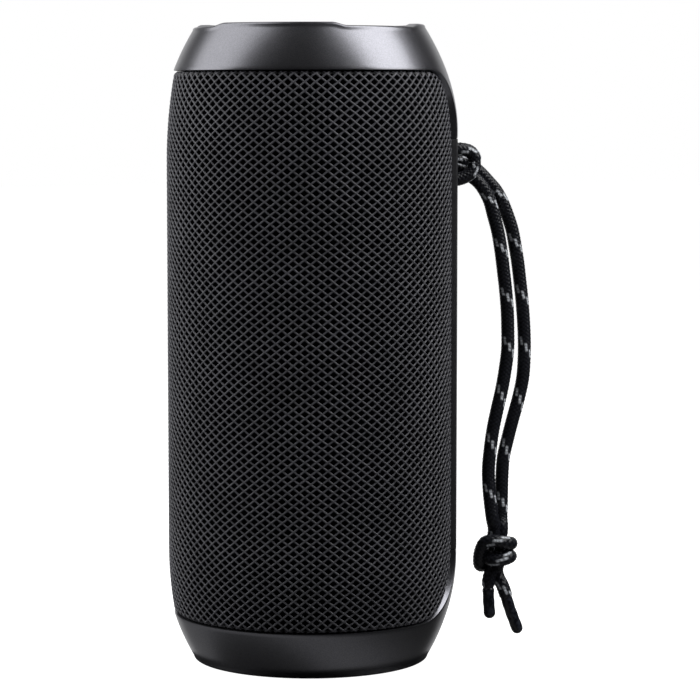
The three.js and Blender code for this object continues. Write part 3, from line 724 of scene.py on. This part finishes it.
def window_depth(arc, z):
    """Distance inside the fabric's window, and the nearest place on its outline, both on the flat."""
    low, high = BASE_EDGE + GAP * 0.6, TOP_EDGE - GAP * 0.6
    side = SPINE_HALF + GAP * 0.6
    s = np.abs(arc)
    top = z > (low + high) / 2
    radius = np.where(top, TOP_FLARE, BASE_FLARE)
    end = np.where(top, high, low)
    sign = np.where(top, 1.0, -1.0)
    from_side = s - side
    from_end = (end - z) * sign
    corner = (from_side < radius) & (from_end < radius)
    dx, dz = radius - from_side, radius - from_end
    away = np.hypot(dx, dz)
    depth = np.where(corner, radius - away, np.minimum(from_side, from_end))
    scale = radius / np.maximum(away, 1e-6)
    near_s = np.where(corner, side + radius - dx * scale, np.where(from_side < from_end, side, s))
    near_z = np.where(corner, end - sign * (radius - dz * scale), np.where(from_side < from_end, z, end))
    return depth, near_s * np.sign(arc), near_z


def arc_of(angle, z):
    """Arc along the spine's radius, measured across the spine as the frame cuts it."""
    across = np.clip(fabric_radius(z) * np.sin(angle) / SPINE_R, -1.0, 1.0)
    return np.where(np.abs(angle) < 1.0, SPINE_R * np.arcsin(across), SPINE_R * angle)


def angle_of(arc, z):
    across = np.clip(SPINE_R * np.sin(arc / SPINE_R) / fabric_radius(z), -1.0, 1.0)
    return np.where(np.abs(arc) < 39.5, np.arcsin(across), arc / SPINE_R)


def thread(across, along, row):
    """Height of one family of threads over the floor of the weave, 0 to 1."""
    shape = np.sqrt(np.maximum(0.0, 1 - (across * THREAD_APART / THREAD_HALF) ** 2))
    bulge = 1 - 0.13 * (1 + np.cos(2 * math.pi * along))
    weave = 0.09 * np.cos(math.pi * (along + row))
    return shape * (bulge + weave)


def weave_height(p, q):
    row_p, row_q = np.round(p), np.round(q)
    one = thread(p - row_p, q, row_p)
    other = thread(q - row_q, p, row_q + 1)
    return np.maximum(one, other)


def weave_grid():
    """Counts of the two families of threads at every point of the net, over the whole barrel."""
    around = 2 * math.pi * FABRIC_R
    p_high = int((around / (CELL_WIDE / 2) + HEIGHT / (CELL_HIGH / 2)) / 2) + 1
    q_low = int(-HEIGHT / CELL_HIGH) - 1
    q_high = int(around / CELL_WIDE) + 1
    p = (np.arange(0, p_high)[:, None] + THREAD_CUTS).ravel()
    q = (np.arange(q_low, q_high)[:, None] + THREAD_CUTS).ravel()
    return np.meshgrid(p, q, indexing="ij")


def weave_places(p, q):
    """Angle and height of the net's points, with the threads wandering a little."""
    wander = 0.035 * np.sin(p * 1.7 + 1.3 * np.sin(q * 0.9)) + 0.03 * np.sin(q * 2.3 + p * 0.31)
    z = (p - q) * CELL_HIGH / 2 + wander
    angle = ((p + q) * CELL_WIDE / 2 + wander[::-1]) / FABRIC_R
    return np.where(angle > math.pi, angle - 2 * math.pi, angle), z


def within_window(angle, z):
    """The same places drawn in to the window's outline, their depth inside it, and which were outside."""
    depth, near_arc, near_z = window_depth(arc_of(angle, z), z)
    outside = depth < 0
    angle = np.where(outside, angle_of(near_arc, near_z), angle)
    return angle, np.where(outside, near_z, z), depth, outside


def weave_points(angle, z, height, depth):
    """Points of the net, rolled in towards the barrel along its edge."""
    share = np.clip(depth / FABRIC_ROLL, 0.0, 1.0)
    roll = FABRIC_ROLL * (1 - np.sqrt(1 - (1 - share) ** 2))
    radius = fabric_radius(z) + THREAD_HIGH * (height * (0.35 + 0.65 * share) - 0.85) - roll
    return np.stack([radius * np.cos(angle), radius * np.sin(angle), z], -1).reshape(-1, 3)


def fabric_panel(name, points, quads, flat_places, height):
    """One panel of the net, with its flat layout as a stretched sheet."""
    used, index = np.unique(quads, return_inverse=True)
    index = index.reshape(-1, 4)
    obj = piece(name, points[used], index[:, ::-1].tolist())
    # how far down each point lies in the weave, which the cloth's material paints as shade
    mark(obj, "hole", 1 - height[used])
    flat = flat_places[used]
    wide, tall = (float(span) for span in np.ptp(flat, axis=0))
    loops = np.empty(len(obj.data.loops), np.int32)
    obj.data.loops.foreach_get("vertex_index", loops)
    pair = ((flat - flat.min(axis=0)) / max(wide, tall))[loops]
    obj.data.uv_layers.new(name="OFBake").data.foreach_set("uv", pair.astype(np.float32).ravel())
    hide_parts("grille_fabric")
    return obj


def make_fabric():
    grid_p, grid_q = weave_grid()
    angle, z, depth, outside = within_window(*weave_places(grid_p, grid_q))
    height = weave_height(grid_p, grid_q)
    points = weave_points(angle, z, height, depth)
    height = height.ravel()

    # threads inside the window, once round the barrel, with a closed selvage along the edge
    quads = grid_faces(*grid_p.shape)
    cloth = (height[quads].max(axis=1) > HOLE_BELOW) | (depth.ravel()[quads].min(axis=1) < SELVAGE)
    kept = (~outside.ravel())[quads].any(axis=1) & cloth
    arc = (grid_p + grid_q).ravel() * CELL_WIDE / 2
    once = (arc[quads].max(axis=1) < 2 * math.pi * FABRIC_R) & (arc[quads].min(axis=1) > 0)
    quads = quads[kept & once]

    cell = np.round(grid_p + 1e-6) + np.round(grid_q + 1e-6)
    turn = (cell * CELL_WIDE / 2 / FABRIC_R).ravel()[quads[:, 0]]
    edge = SPINE_HALF / FABRIC_R
    share = (turn - edge) / (2 * math.pi - 2 * edge)
    panel = np.clip(share * PANELS, 0, PANELS - 1).astype(int)
    flat_places = np.stack([arc, z.ravel()], -1)
    return [
        fabric_panel(f"grille_fabric_{i + 1}", points, quads[panel == i], flat_places, height)
        for i in range(PANELS)
    ]


def fabric_shade():
    """Woven grille cloth: dark threads with a cool sheen, painted darker down their sides as shade."""
    shade = Shade("grille_cloth", (0.03, 0.03, 0.034), 0.4, 0.0, "grille_cloth")
    patches = shade.ramp(shade.noise(0.09, 2.0), 0.35, 0.65)
    worn = shade.tint(patches, (0.1, 0.1, 0.113), (0.13, 0.13, 0.147))
    # painted shade: the deeper a point lies in the weave, the nearer black its colour, down the threads'
    # sides and on the closed floor along the edge
    deep = shade.ramp(shade.attribute("hole"), 0.25, 0.9)
    shade.tint(deep, worn, (0.014, 0.014, 0.016))
    shade.bump(shade.noise(9.0, 2.0), 0.03, 0.5)
    return shade


LINING_DEEP = 0.62
LINING_THICK = 0.2


def make_shade_lining():
    """A thin closed black skin behind the open weave, keeping to the cloth's outline; it stands for the
    cloth's dark backing, and its near-black colour without any gloss paints the shade inside the grille.
    """
    angles = np.linspace(-math.pi, math.pi, 241)[:-1]
    heights = np.linspace(BASE_EDGE - 1.0, TOP_EDGE + 1.0, 130)
    angle, z, _, outside = within_window(*np.meshgrid(angles, heights))
    quads = grid_faces(len(heights), len(angles), wrap_columns=True)
    quads = quads[(~outside.ravel())[quads].any(axis=1)]
    layers = []
    for deep in (LINING_DEEP, LINING_DEEP + LINING_THICK):
        radius = fabric_radius(z) - deep
        layers.append(np.stack([radius * np.cos(angle), radius * np.sin(angle), z], -1).reshape(-1, 3))
    count = len(layers[0])
    sides = np.concatenate([quads[:, [i, (i + 1) % 4]] for i in range(4)])
    seen = {tuple(edge) for edge in sides.tolist()}
    rim = [(a, b) for a, b in sides.tolist() if (b, a) not in seen]
    faces = quads.tolist() + (quads[:, ::-1] + count).tolist()
    faces += [[b, a, a + count, b + count] for a, b in rim]
    obj = piece("grille_scrim", np.vstack(layers), faces)
    clean(obj, 1e-7)
    # painted shade: near black with no gloss at all, so the holes of the weave show black
    shade = Shade("scrim_painted_shade", (0.002, 0.002, 0.0024), 1.0, 0.0, "grille_cloth")
    shade.tint(shade.noise(4.0, 2.0), (0.0015, 0.0015, 0.002), (0.004, 0.004, 0.005))
    shade.set("Specular IOR Level", 0.0)
    shade.on(obj)
    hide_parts("grille_fabric")


fabric_shade().on(*make_fabric())
make_shade_lining()


# ---- plates with rounded rims

def rounded_loop(corners, radii, offset=0.0, steps=7):
    """A closed outline with rounded corners, drawn in by an offset; its inside is on its left."""
    corners = np.asarray(corners, float)
    way = np.roll(corners, -1, axis=0) - corners
    way /= np.linalg.norm(way, axis=1)[:, None]
    left = np.stack([-way[:, 1], way[:, 0]], -1)
    points = []
    for corner, before, after, radius in zip(corners, np.roll(left, 1, axis=0), left, radii):
        bend = before[0] * after[1] - before[1] * after[0]
        sign = math.copysign(1.0, bend)
        middle = corner - sign * -radius * (before + after) / (1 + before @ after)
        start = math.atan2(-sign * before[1], -sign * before[0])
        sweep = math.atan2(bend, before @ after)
        for a in np.linspace(start, start + sweep, steps):
            points.append(middle + (radius - sign * offset) * np.array([math.cos(a), math.sin(a)]))
    return np.array(points)


def round_hole(s, z, radius, offset=0.0, steps=40):
    """A round hole's outline, which the plate keeps on its left."""
    turn = -np.arange(steps) * 2 * math.pi / steps
    return np.stack([s + (radius + offset) * np.cos(turn), z + (radius + offset) * np.sin(turn)], -1)


def disc(s, z, radius, offset=0.0, steps=40):
    return round_hole(s, z, radius, -offset, steps)[::-1]


def box_corners(low, high):
    return [(low[0], low[1]), (high[0], low[1]), (high[0], high[1]), (low[0], high[1])]


def box_loop(low, high, radius):
    """A rounded rectangle as a function of an offset."""
    return lambda offset: rounded_loop(box_corners(low, high), [radius] * 4, offset)


def box_hole(low, high, radius):
    return lambda offset: rounded_loop(box_corners(low, high)[::-1], [radius] * 4, offset)


def spread(loop, counts):
    """A loop with extra points along each of its stretches."""
    after = np.roll(loop, -1, axis=0)
    parts = [a + (b - a) * (np.arange(n) / n)[:, None] for a, b, n in zip(loop, after, counts)]
    return np.vstack(parts)


def clear_of(points, loops, away):
    """Which points lie inside the plate and at least that far from every outline."""
    inside = np.zeros(len(points), bool)
    near = np.full(len(points), np.inf)
    for loop in loops:
        a, b = loop, np.roll(loop, -1, axis=0)
        for (ax, ay), (bx, by) in zip(a, b):
            x, y = points[:, 0], points[:, 1]
            if ay != by:
                crossing = (ay > y) != (by > y)
                inside ^= crossing & (x < (bx - ax) * (y - ay) / (by - ay) + ax)
            length = max((bx - ax) ** 2 + (by - ay) ** 2, 1e-12)
            share = np.clip(((x - ax) * (bx - ax) + (y - ay) * (by - ay)) / length, 0, 1)
            near = np.minimum(near, np.hypot(x - ax - share * (bx - ax), y - ay - share * (by - ay)))
    return inside & (near > away)


def rim_levels(loops, bevel, front, back, step):
    """The outlines and depth of each level of a plate's edge, from its front face to its back."""
    plain = [loop(0.0) for loop in loops]
    gaps = [np.linalg.norm(np.roll(p, -1, axis=0) - p, axis=1) for p in plain]
    counts = [np.maximum(1, np.ceil(gap / step)).astype(int) for gap in gaps]
    levels = []
    for a in np.radians((90.0, 66.0, 44.0, 22.0, 0.0)):
        rims = [spread(loop(bevel * (1 - math.cos(a))), n) for loop, n in zip(loops, counts)]
        levels.append((rims, front + bevel * (1 - math.sin(a))))
    return levels + [(levels[-1][0], back)]


def face_grid(rims, step):
    """Places inside the outlines, which let the face bend."""
    low, high = rims[0].min(axis=0), rims[0].max(axis=0)
    grid_s = np.arange(low[0] + step / 2, high[0], step)
    grid_z = np.arange(low[1] + step / 2, high[1], step * 1.6)
    grid = np.stack(np.meshgrid(grid_s, grid_z), -1).reshape(-1, 2)
    return grid[clear_of(grid, rims, 0.35 * step)] if len(grid) else grid


def plate(loops, bevel, front, back, step=2.0, crown=None):
    """[arc, height, depth] points and faces of a plate between two depths with rounded front rims.

    Each loop is a function of an offset into the plate, the outer one first. A crown lifts the
    front towards its middle: its place, radius and height."""
    levels = rim_levels(loops, bevel, front, back, step)
    rims = levels[0][0]
    grid = face_grid(rims, step)
    rim_count = sum(len(r) for r in rims)
    edges = []
    start = 0
    for rim in rims:
        edges += [(start + i, start + (i + 1) % len(rim)) for i in range(len(rim))]
        start += len(rim)
    flat = [Vector(p) for p in np.vstack([*rims, grid])]
    _, _, filled, names, _, _ = delaunay_2d_cdt(flat, edges, [], 4, 1e-5)
    filled = [[names[i][0] for i in face] for face in filled]

    layers = [np.column_stack([np.vstack(r), np.full(rim_count, depth)]) for r, depth in levels]
    layers += [np.column_stack([grid, np.full(len(grid), depth)]) for depth in (front, back)]
    points = np.vstack(layers)
    last = (len(levels) - 1) * rim_count
    inner = len(levels) * rim_count
    front_of = lambda i: i if i < rim_count else inner + i - rim_count
    back_of = lambda i: last + i if i < rim_count else inner + len(grid) + i - rim_count
    faces = [[front_of(i) for i in face] for face in filled]
    faces += [[back_of(i) for i in face[::-1]] for face in filled]
    for a in range(0, last, rim_count):
        b = a + rim_count
        faces += [[a + j, a + i, b + i, b + j] for i, j in edges]
    if crown:
        (s, z), reach, lift = crown
        away = np.hypot(points[:, 0] - s, points[:, 1] - z) / reach
        points[:, 2] -= np.where(points[:, 2] < back, lift * np.maximum(0.0, 1 - away**2), 0.0)
    return points, faces


def joined(*parts):
    """Several [points, faces] as one."""
    points, faces, start = [], [], 0
    for some, more in parts:
        points.append(some)
        faces += [[i + start for i in face] for face in more]
        start += len(some)
    return np.vstack(points), faces


def on_spine(points):
    """Places of [arc, height, depth] points on the spine's round face."""
    arc, z, depth = points.T
    radius = shell_radius(z) - depth
    turn = np.arcsin(np.clip(SPINE_R * np.sin(arc / SPINE_R) / radius, -1.0, 1.0))
    return np.stack([radius * np.cos(turn), radius * np.sin(turn), z], -1)


def spine_piece(name, part, body, shade, *nodes):
    points, faces = part
    obj = piece(name, on_spine(points), faces, body=body)
    clean(obj, 1e-8, 40.0)
    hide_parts(*nodes)
    shade.on(obj)


# ---- control spine

BUTTON_R = 4.3
BUTTON_PITCH = 10.9
BUTTON_FIRST = 75.2
BUTTON_PROUD = 0.4
KEYS = ("pair", "plus", "play", "minus", "power")
KEY_GAP = 0.25
KEY_DEEP = 3.4
SIGN_HIGH = 0.3
LIGHT_Z = 68.0
LIGHT_PITCH = 3.5
LIGHT_PLACES = [LIGHT_PITCH * (i - 1.5) for i in range(4)]
LIGHT_R = 0.88
LIGHT_HOLE_R = 1.0
MIC = (9.0, 120.0)
MIC_R = 0.6
COVER_THICK = 1.9
BAY_LOW, BAY_HIGH, BAY_HALF = 33.6, 64.6, 4.3
DOOR_HALF = 3.9
POCKET_LOW, POCKET_HALF = 126.0, 8.05
BAR = (38.5, 1.4, 124.8, 147.0)


def spine_shade():
    """Soft-touch plastic: a fine even grain, with slightly shinier rubbed patches."""
    shade = Shade("spine_plastic", (0.028, 0.028, 0.031), 0.55, 0.0, "spine_plastic")
    wear = shade.noise(0.12, 3.0)
    shade.tint(shade.ramp(wear, 0.4, 0.7), (0.024, 0.024, 0.027), (0.036, 0.036, 0.04))
    shade.roughness(wear, 0.6, 0.45)
    shade.bump(shade.noise(3.2, 1.0), 0.05, 0.4)
    return shade


def rubber_shade(name, slot, colour):
    """Moulded rubber: matt, faintly mottled, a little paler where it is handled."""
    shade = Shade(name, colour, 0.62, 0.0, slot)
    pale = tuple(1.35 * c for c in colour)
    shade.tint(shade.ramp(shade.noise(0.5, 3.0), 0.35, 0.7), colour, pale)
    shade.roughness(shade.noise(0.9, 2.0), 0.55, 0.7)
    shade.bump(shade.noise(5.0, 1.0), 0.03, 0.35)
    return shade


def panel_outline(offset):
    """The panel with the cord's window cut down from its top."""
    low, high, half = BASE_JOINT + 0.06, TOP_JOINT - 0.06, SPINE_HALF - 0.1
    corners = [
        (-half, low), (half, low), (half, high), (POCKET_HALF, high),
        (POCKET_HALF, POCKET_LOW), (-POCKET_HALF, POCKET_LOW), (-POCKET_HALF, high), (-half, high),
    ]
    return rounded_loop(corners, [0.5, 0.5, 0.5, 0.6, 2.2, 2.2, 0.6, 0.5], offset)


def button_height(i):
    return BUTTON_FIRST + BUTTON_PITCH * i


def make_panel():
    loops = [panel_outline]
    for i in range(len(KEYS)):
        loops.append(lambda offset, z=button_height(i): round_hole(0.0, z, BUTTON_R + KEY_GAP, offset))
    for place in LIGHT_PLACES:
        loops.append(lambda offset, s=place: round_hole(s, LIGHT_Z, LIGHT_HOLE_R, offset, 20))
    loops.append(lambda offset: round_hole(*MIC, MIC_R, offset, 14))
    loops.append(box_hole((-BAY_HALF + 0.15, BAY_LOW), (BAY_HALF - 0.15, BAY_HIGH), 1.1))
    cover = plate(loops, 0.3, 0.0, COVER_THICK)
    spine_piece("spine_cover", cover, "housing", SPINE_PLASTIC, "spine_panel")


def bar_loop(wide, high, s, z):
    radius = min(wide, high) * 0.42
    return box_loop((s - wide / 2, z - high / 2), (s + wide / 2, z + high / 2), radius)


def cross_loop(long, wide, z):
    """A plus, as one outline of twelve corners."""
    a, b = long / 2, wide / 2
    corners = [
        (-b, -a), (b, -a), (b, -b), (a, -b), (a, b), (b, b),
        (b, a), (-b, a), (-b, b), (-a, b), (-a, -b), (-b, -b),
    ]
    radii = [0.2, 0.2, 0.05] * 4
    return lambda offset: rounded_loop([(s, z + h) for s, h in corners], radii, offset, 4)


def open_ring(z, radius, half, gap):
    """A ring open at its top, with round ends."""
    def bow(reach, angles):
        return [(reach * math.cos(a), reach * math.sin(a)) for a in angles]

    def end(at, first, wide):
        turn = first + np.linspace(0.0, math.pi, 8)[1:-1]
        middle = radius * math.cos(at), radius * math.sin(at)
        return [(middle[0] + wide * math.cos(t), middle[1] + wide * math.sin(t)) for t in turn]

    def loop(offset):
        wide = half - offset
        sweep = np.radians(np.linspace(90.0 + gap, 450.0 - gap, 34))
        far, near = end(sweep[-1], sweep[-1], wide), end(sweep[0], sweep[0] + math.pi, wide)
        return np.array(bow(radius + wide, sweep) + far + bow(radius - wide, sweep[::-1]) + near) + (0.0, z)
    return loop


def sign_loops(kind, z):
    """The separate raised shapes of a button's sign."""
    if kind == "minus":
        return [bar_loop(3.4, 0.8, 0.0, z)]
    if kind == "plus":
        return [cross_loop(3.4, 0.8, z)]
    if kind == "play":
        corners = [(-1.2, z - 1.6), (1.7, z), (-1.2, z + 1.6)]
        return [lambda offset: rounded_loop(corners, [0.25] * 3, offset)]
    if kind == "power":
        return [open_ring(z, 1.65, 0.35, 42.0), bar_loop(0.7, 2.2, 0.0, z + 1.5)]
    ends = [lambda offset, s=s: disc(s, z, 0.8, offset, 24) for s in (-1.5, 1.5)]
    return [*ends, bar_loop(1.2, 0.5, 0.0, z)]


def make_button(kind, z):
    """A slightly crowned round key with its sign standing proud."""
    crown = ((0.0, z), BUTTON_R, 0.18)
    outline = lambda offset: disc(0.0, z, BUTTON_R, offset)
    key = plate([outline], 0.45, -BUTTON_PROUD, KEY_DEEP, 0.9, crown)
    top = -BUTTON_PROUD - 0.15
    signs = [plate([loop], 0.12, top - SIGN_HIGH, top + 0.2, 0.5) for loop in sign_loops(kind, z)]
    body = f"{kind}_button"
    spine_piece(f"{kind}_key", joined(key, *signs), body, KEY_RUBBER, body)


def make_door():
    """The rubber flap over the sockets, with its plug behind and a pull along one side."""
    low, high = BAY_LOW + 0.4, BAY_HIGH - 0.4
    skin = plate([box_loop((-DOOR_HALF, low), (DOOR_HALF, high), 0.9)], 0.3, 0.0, 1.5)
    outer = box_loop((-2.1, low + 1.4), (3.2, high - 1.4), 0.6)
    inner = box_hole((-1.4, low + 2.2), (2.5, high - 2.2), 0.3)
    plug = plate([outer, inner], 0.05, 1.3, 2.2)
    pull = plate([box_loop((2.2, 45.0), (3.4, 53.0), 0.5)], 0.25, -0.5, 0.6, 1.0)
    spine_piece("door_flap", joined(skin, plug, pull), "port_door", DOOR_RUBBER, "port_door")


SPINE_PLASTIC = spine_shade()
KEY_RUBBER = rubber_shade("key_rubber", "button_rubber", (0.034, 0.034, 0.038))
DOOR_RUBBER = rubber_shade("door_rubber", "door_rubber", (0.022, 0.022, 0.025))
make_panel()
for row, label in enumerate(KEYS):
    make_button(label, button_height(row))
make_door()


# ---- turned pieces

def turned(name, outline, body, shade, nodes, sides=96, centre_x=0.0, closed=True, over=False):
    """A lathe from [radius, height] points; over turns it upside down."""
    outline = np.asarray(outline, float)
    if over:
        outline[:, 1] = HEIGHT - outline[:, 1]
    turn = np.arange(sides) * 2 * math.pi / sides
    x = centre_x + outline[:, 0, None] * np.cos(turn)
    y = outline[:, 0, None] * np.sin(turn)
    z = np.repeat(outline[:, 1, None], sides, axis=1)
    faces = grid_faces(len(outline), sides, wrap_rows=closed, wrap_columns=True).tolist()
    obj = piece(name, np.stack([x, y, z], -1).reshape(-1, 3), faces, body=body)
    clean(obj, 1e-7, 35.0)
    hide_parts(*nodes)
    shade.on(obj)


def arch(inner, outer, low, rise):
    """Half-ellipse points from one radius to another."""
    middle, half = (inner + outer) / 2, (outer - inner) / 2
    turn = np.linspace(math.pi, 0.0, 17)
    return [(middle + half * math.cos(a), low + rise * math.sin(a)) for a in turn]


RINGS_PER_MM = 9.0


def turned_metal_shade(name, slot, colour, roughness):
    """Metal turned on a lathe: fine rings about the barrel's axis."""
    shade = Shade(name, colour, roughness, 1.0, slot)
    flat = shade.new("ShaderNodeVectorMath")
    flat.operation = "MULTIPLY"
    flat.inputs[1].default_value = (1.0, 1.0, 0.0)
    reach = shade.new("ShaderNodeVectorMath")
    reach.operation = "LENGTH"
    rings = shade.new("ShaderNodeTexNoise")
    rings.noise_dimensions = "1D"
    rings.inputs["Scale"].default_value = RINGS_PER_MM / MM
    rings.inputs["Detail"].default_value = 3.0
    shade.join(shade.place, flat.inputs[0])
    shade.join(flat.outputs["Vector"], reach.inputs[0])
    shade.join(reach.outputs["Value"], rings.inputs["W"])
    ring = rings.outputs["Fac"]
    shade.tint(shade.ramp(ring, 0.3, 0.7), *around(colour))
    shade.roughness(ring, roughness * 0.8, roughness * 1.2)
    shade.bump(ring, 0.03, 0.4)
    return shade


RADIATOR_LOW = HEIGHT - 7.8

# [radius, height] from there
RADIATOR_RING = (
    (24.3, 0.0), (28.6, 0.0), (28.8, 0.3), (28.8, 1.5), (28.4, 1.9), (26.4, 1.9),
    (26.2, 1.7), (25.6, 1.7), (25.4, 1.9), (24.6, 1.9), (24.3, 1.6),
)
RADIATOR_DISC = (
    (0.0, 2.25), (3.0, 2.2), (6.2, 2.0), (8.6, 1.75), (9.0, 1.45), (9.4, 1.45), (9.8, 1.7), (13.6, 1.7),
    (14.2, 2.0), (15.2, 2.05), (15.8, 1.8), (16.1, 1.3), (16.1, -2.4), (15.6, -2.6), (0.0, -2.6),
)


def add_radiator(place, over):
    """A passive radiator: its ring and rubber roll on the housing, its disc on its own body."""
    low = RADIATOR_LOW
    ring = [(r, low + z) for r, z in RADIATOR_RING]
    over_roll = arch(16.3, 24.1, low + 1.0, 2.3)
    under_roll = arch(16.9, 23.5, low + 0.7, 2.0)[::-1]
    edge = [(24.7, low + 1.0), (24.7, low + 0.6)]
    roll = [(15.7, low + 1.0), *over_roll, *edge, *under_roll, (15.7, low + 0.6)]
    face = [(r, low + z) for r, z in RADIATOR_DISC]
    body = f"{place}_radiator"
    turned(f"{place}_roll", roll, "housing", ROLL_RUBBER, [f"{place}_radiator_surround"], over=over)
    turned(f"{place}_ring", ring, "housing", RING_PLASTIC, [f"{place}_radiator_frame"], over=over)
    plate_node = [f"{body}_plate"]
    turned(f"{place}_disc", face, body, DISC_METAL, plate_node, closed=False, over=over)


ROLL_RUBBER = rubber_shade("roll_rubber", "surround_rubber", (0.012, 0.012, 0.013))
RING_PLASTIC = rubber_shade("ring_plastic", "inner_plastic", (0.016, 0.016, 0.018))
DISC_METAL = turned_metal_shade("disc_metal", "radiator_metal", (0.11, 0.11, 0.12), 0.36)
add_radiator("top", False)
add_radiator("base", True)


def add_bar():
    """The steel pin that the lanyard is hitched to."""
    x, radius, low, high = BAR
    half = [(0.0, low), (radius - 0.2, low), (radius, low + 0.2)]
    outline = half + [(r, low + high - z) for r, z in half[::-1]]
    shade = Shade("pin_steel", (0.55, 0.55, 0.57), 0.28, 1.0, "bar_steel")
    along = shade.noise(6.0, 2.0, (1.0, 1.0, 0.05))
    shade.tint(shade.ramp(along, 0.3, 0.7), (0.45, 0.45, 0.47), (0.62, 0.62, 0.64))
    shade.roughness(along, 0.22, 0.34)
    turned("lanyard_pin", outline, "housing", shade, ["lanyard_bar"], sides=32, centre_x=x, closed=False)


def add_lights():
    """Four small frosted domes over the light pipe's ends."""
    shade = Shade("light_domes", (0.75, 0.8, 0.84), 0.4, 0.0, "clear_light")
    haze = shade.noise(2.0, 2.0)
    shade.tint(shade.ramp(haze, 0.3, 0.7), (0.6, 0.65, 0.7), (0.8, 0.84, 0.88))
    shade.bump(haze, 0.02, 0.3)
    domes = []
    for place in LIGHT_PLACES:
        outline = lambda offset, s=place: disc(s, LIGHT_Z, LIGHT_R, offset, 24)
        domes.append(plate([outline], 0.3, 0.15, 1.8, 0.5, ((place, LIGHT_Z), 0.9, 0.12)))
    points, faces = joined(*domes)
    obj = piece("status_lights", on_spine(points), faces)
    clean(obj, 1e-8, 40.0)
    shade.on(obj)


add_bar()
add_lights()


# ---- materials of the frame's own pieces

# slot: colour, roughness, metal, grain per mm, depth of the grain in mm
FINISHES = {
    "inner_plastic": ((0.006, 0.006, 0.007), 0.7, 0.0, 2.5, 0.05),
    "spine_plastic": ((0.02, 0.02, 0.022), 0.6, 0.0, 3.0, 0.04),
    "button_rubber": ((0.034, 0.034, 0.038), 0.65, 0.0, 3.0, 0.03),
    "screw_steel": ((0.42, 0.42, 0.44), 0.3, 1.0, 4.0, 0.02),
    "basket_steel": ((0.02, 0.02, 0.022), 0.4, 0.0, 1.5, 0.03),
    "magnet_steel": ((0.3, 0.3, 0.31), 0.35, 1.0, 2.0, 0.02),
    "coil_copper": ((0.6, 0.22, 0.08), 0.3, 1.0, 6.0, 0.05),
    "cone_paper": ((0.02, 0.02, 0.021), 0.85, 0.0, 1.2, 0.12),
    "surround_rubber": ((0.012, 0.012, 0.012), 0.6, 0.0, 2.0, 0.03),
    "cell_can": ((0.03, 0.14, 0.36), 0.35, 0.0, 0.6, 0.03),
    "board": ((0.008, 0.07, 0.022), 0.35, 0.0, 1.0, 0.03),
    "lead_cover": ((0.28, 0.015, 0.012), 0.45, 0.0, 3.0, 0.02),
    "ribbon_film": ((0.5, 0.44, 0.32), 0.4, 0.0, 1.0, 0.02),
    "clear_light": ((0.75, 0.8, 0.84), 0.35, 0.0, 2.0, 0.02),
    "socket_steel": ((0.5, 0.5, 0.52), 0.3, 1.0, 5.0, 0.02),
    "mic_can": ((0.55, 0.55, 0.56), 0.35, 1.0, 4.0, 0.02),
    "radiator_metal": ((0.11, 0.11, 0.12), 0.36, 1.0, 4.0, 0.02),
    "door_rubber": ((0.022, 0.022, 0.025), 0.65, 0.0, 4.0, 0.03),
    "bar_steel": ((0.55, 0.55, 0.57), 0.28, 1.0, 5.0, 0.02),
    "cap_paint": ((0.25, 0.25, 0.27), 0.36, 0.95, 5.5, 0.02),
    "grille_cloth": ((0.03, 0.03, 0.034), 0.5, 0.0, 6.0, 0.05),
    "cord_weave": ((0.01, 0.01, 0.012), 0.5, 0.0, 5.0, 0.05),
    "cord_sleeve": ((0.01, 0.011, 0.016), 0.33, 0.0, 1.0, 0.05),
}
SOFTENED = ("lanyard_pocket", "port_bay", "usb_socket", "aux_socket", "card_slot")


def finish_shade(slot, colour, roughness, metal, grain, depth):
    """A plain finish with a grain: clouded colour, uneven gloss and a fine bump."""
    shade = Shade(f"{slot}_inside", colour, roughness, metal)
    cloud = shade.noise(grain * 0.3, 3.0)
    shade.tint(shade.ramp(cloud, 0.35, 0.65), *around(colour))
    shade.roughness(cloud, roughness * 0.85, min(1.0, roughness * 1.15))
    shade.bump(shade.noise(grain, 2.0), depth, 0.4)
    return shade


def dress_frame():
    made = {}
    for part in frame["record"]["subparts"]:
        slot = part["material_slot"]
        if slot not in made:
            made[slot] = finish_shade(slot, *FINISHES[slot])
        made[slot].on(frame["nodes"][part["node"]])
    for name in SOFTENED:
        soft = frame["nodes"][name].modifiers.new("edges", "BEVEL")
        soft.width = 0.15 * MM
        soft.segments = 2


dress_frame()
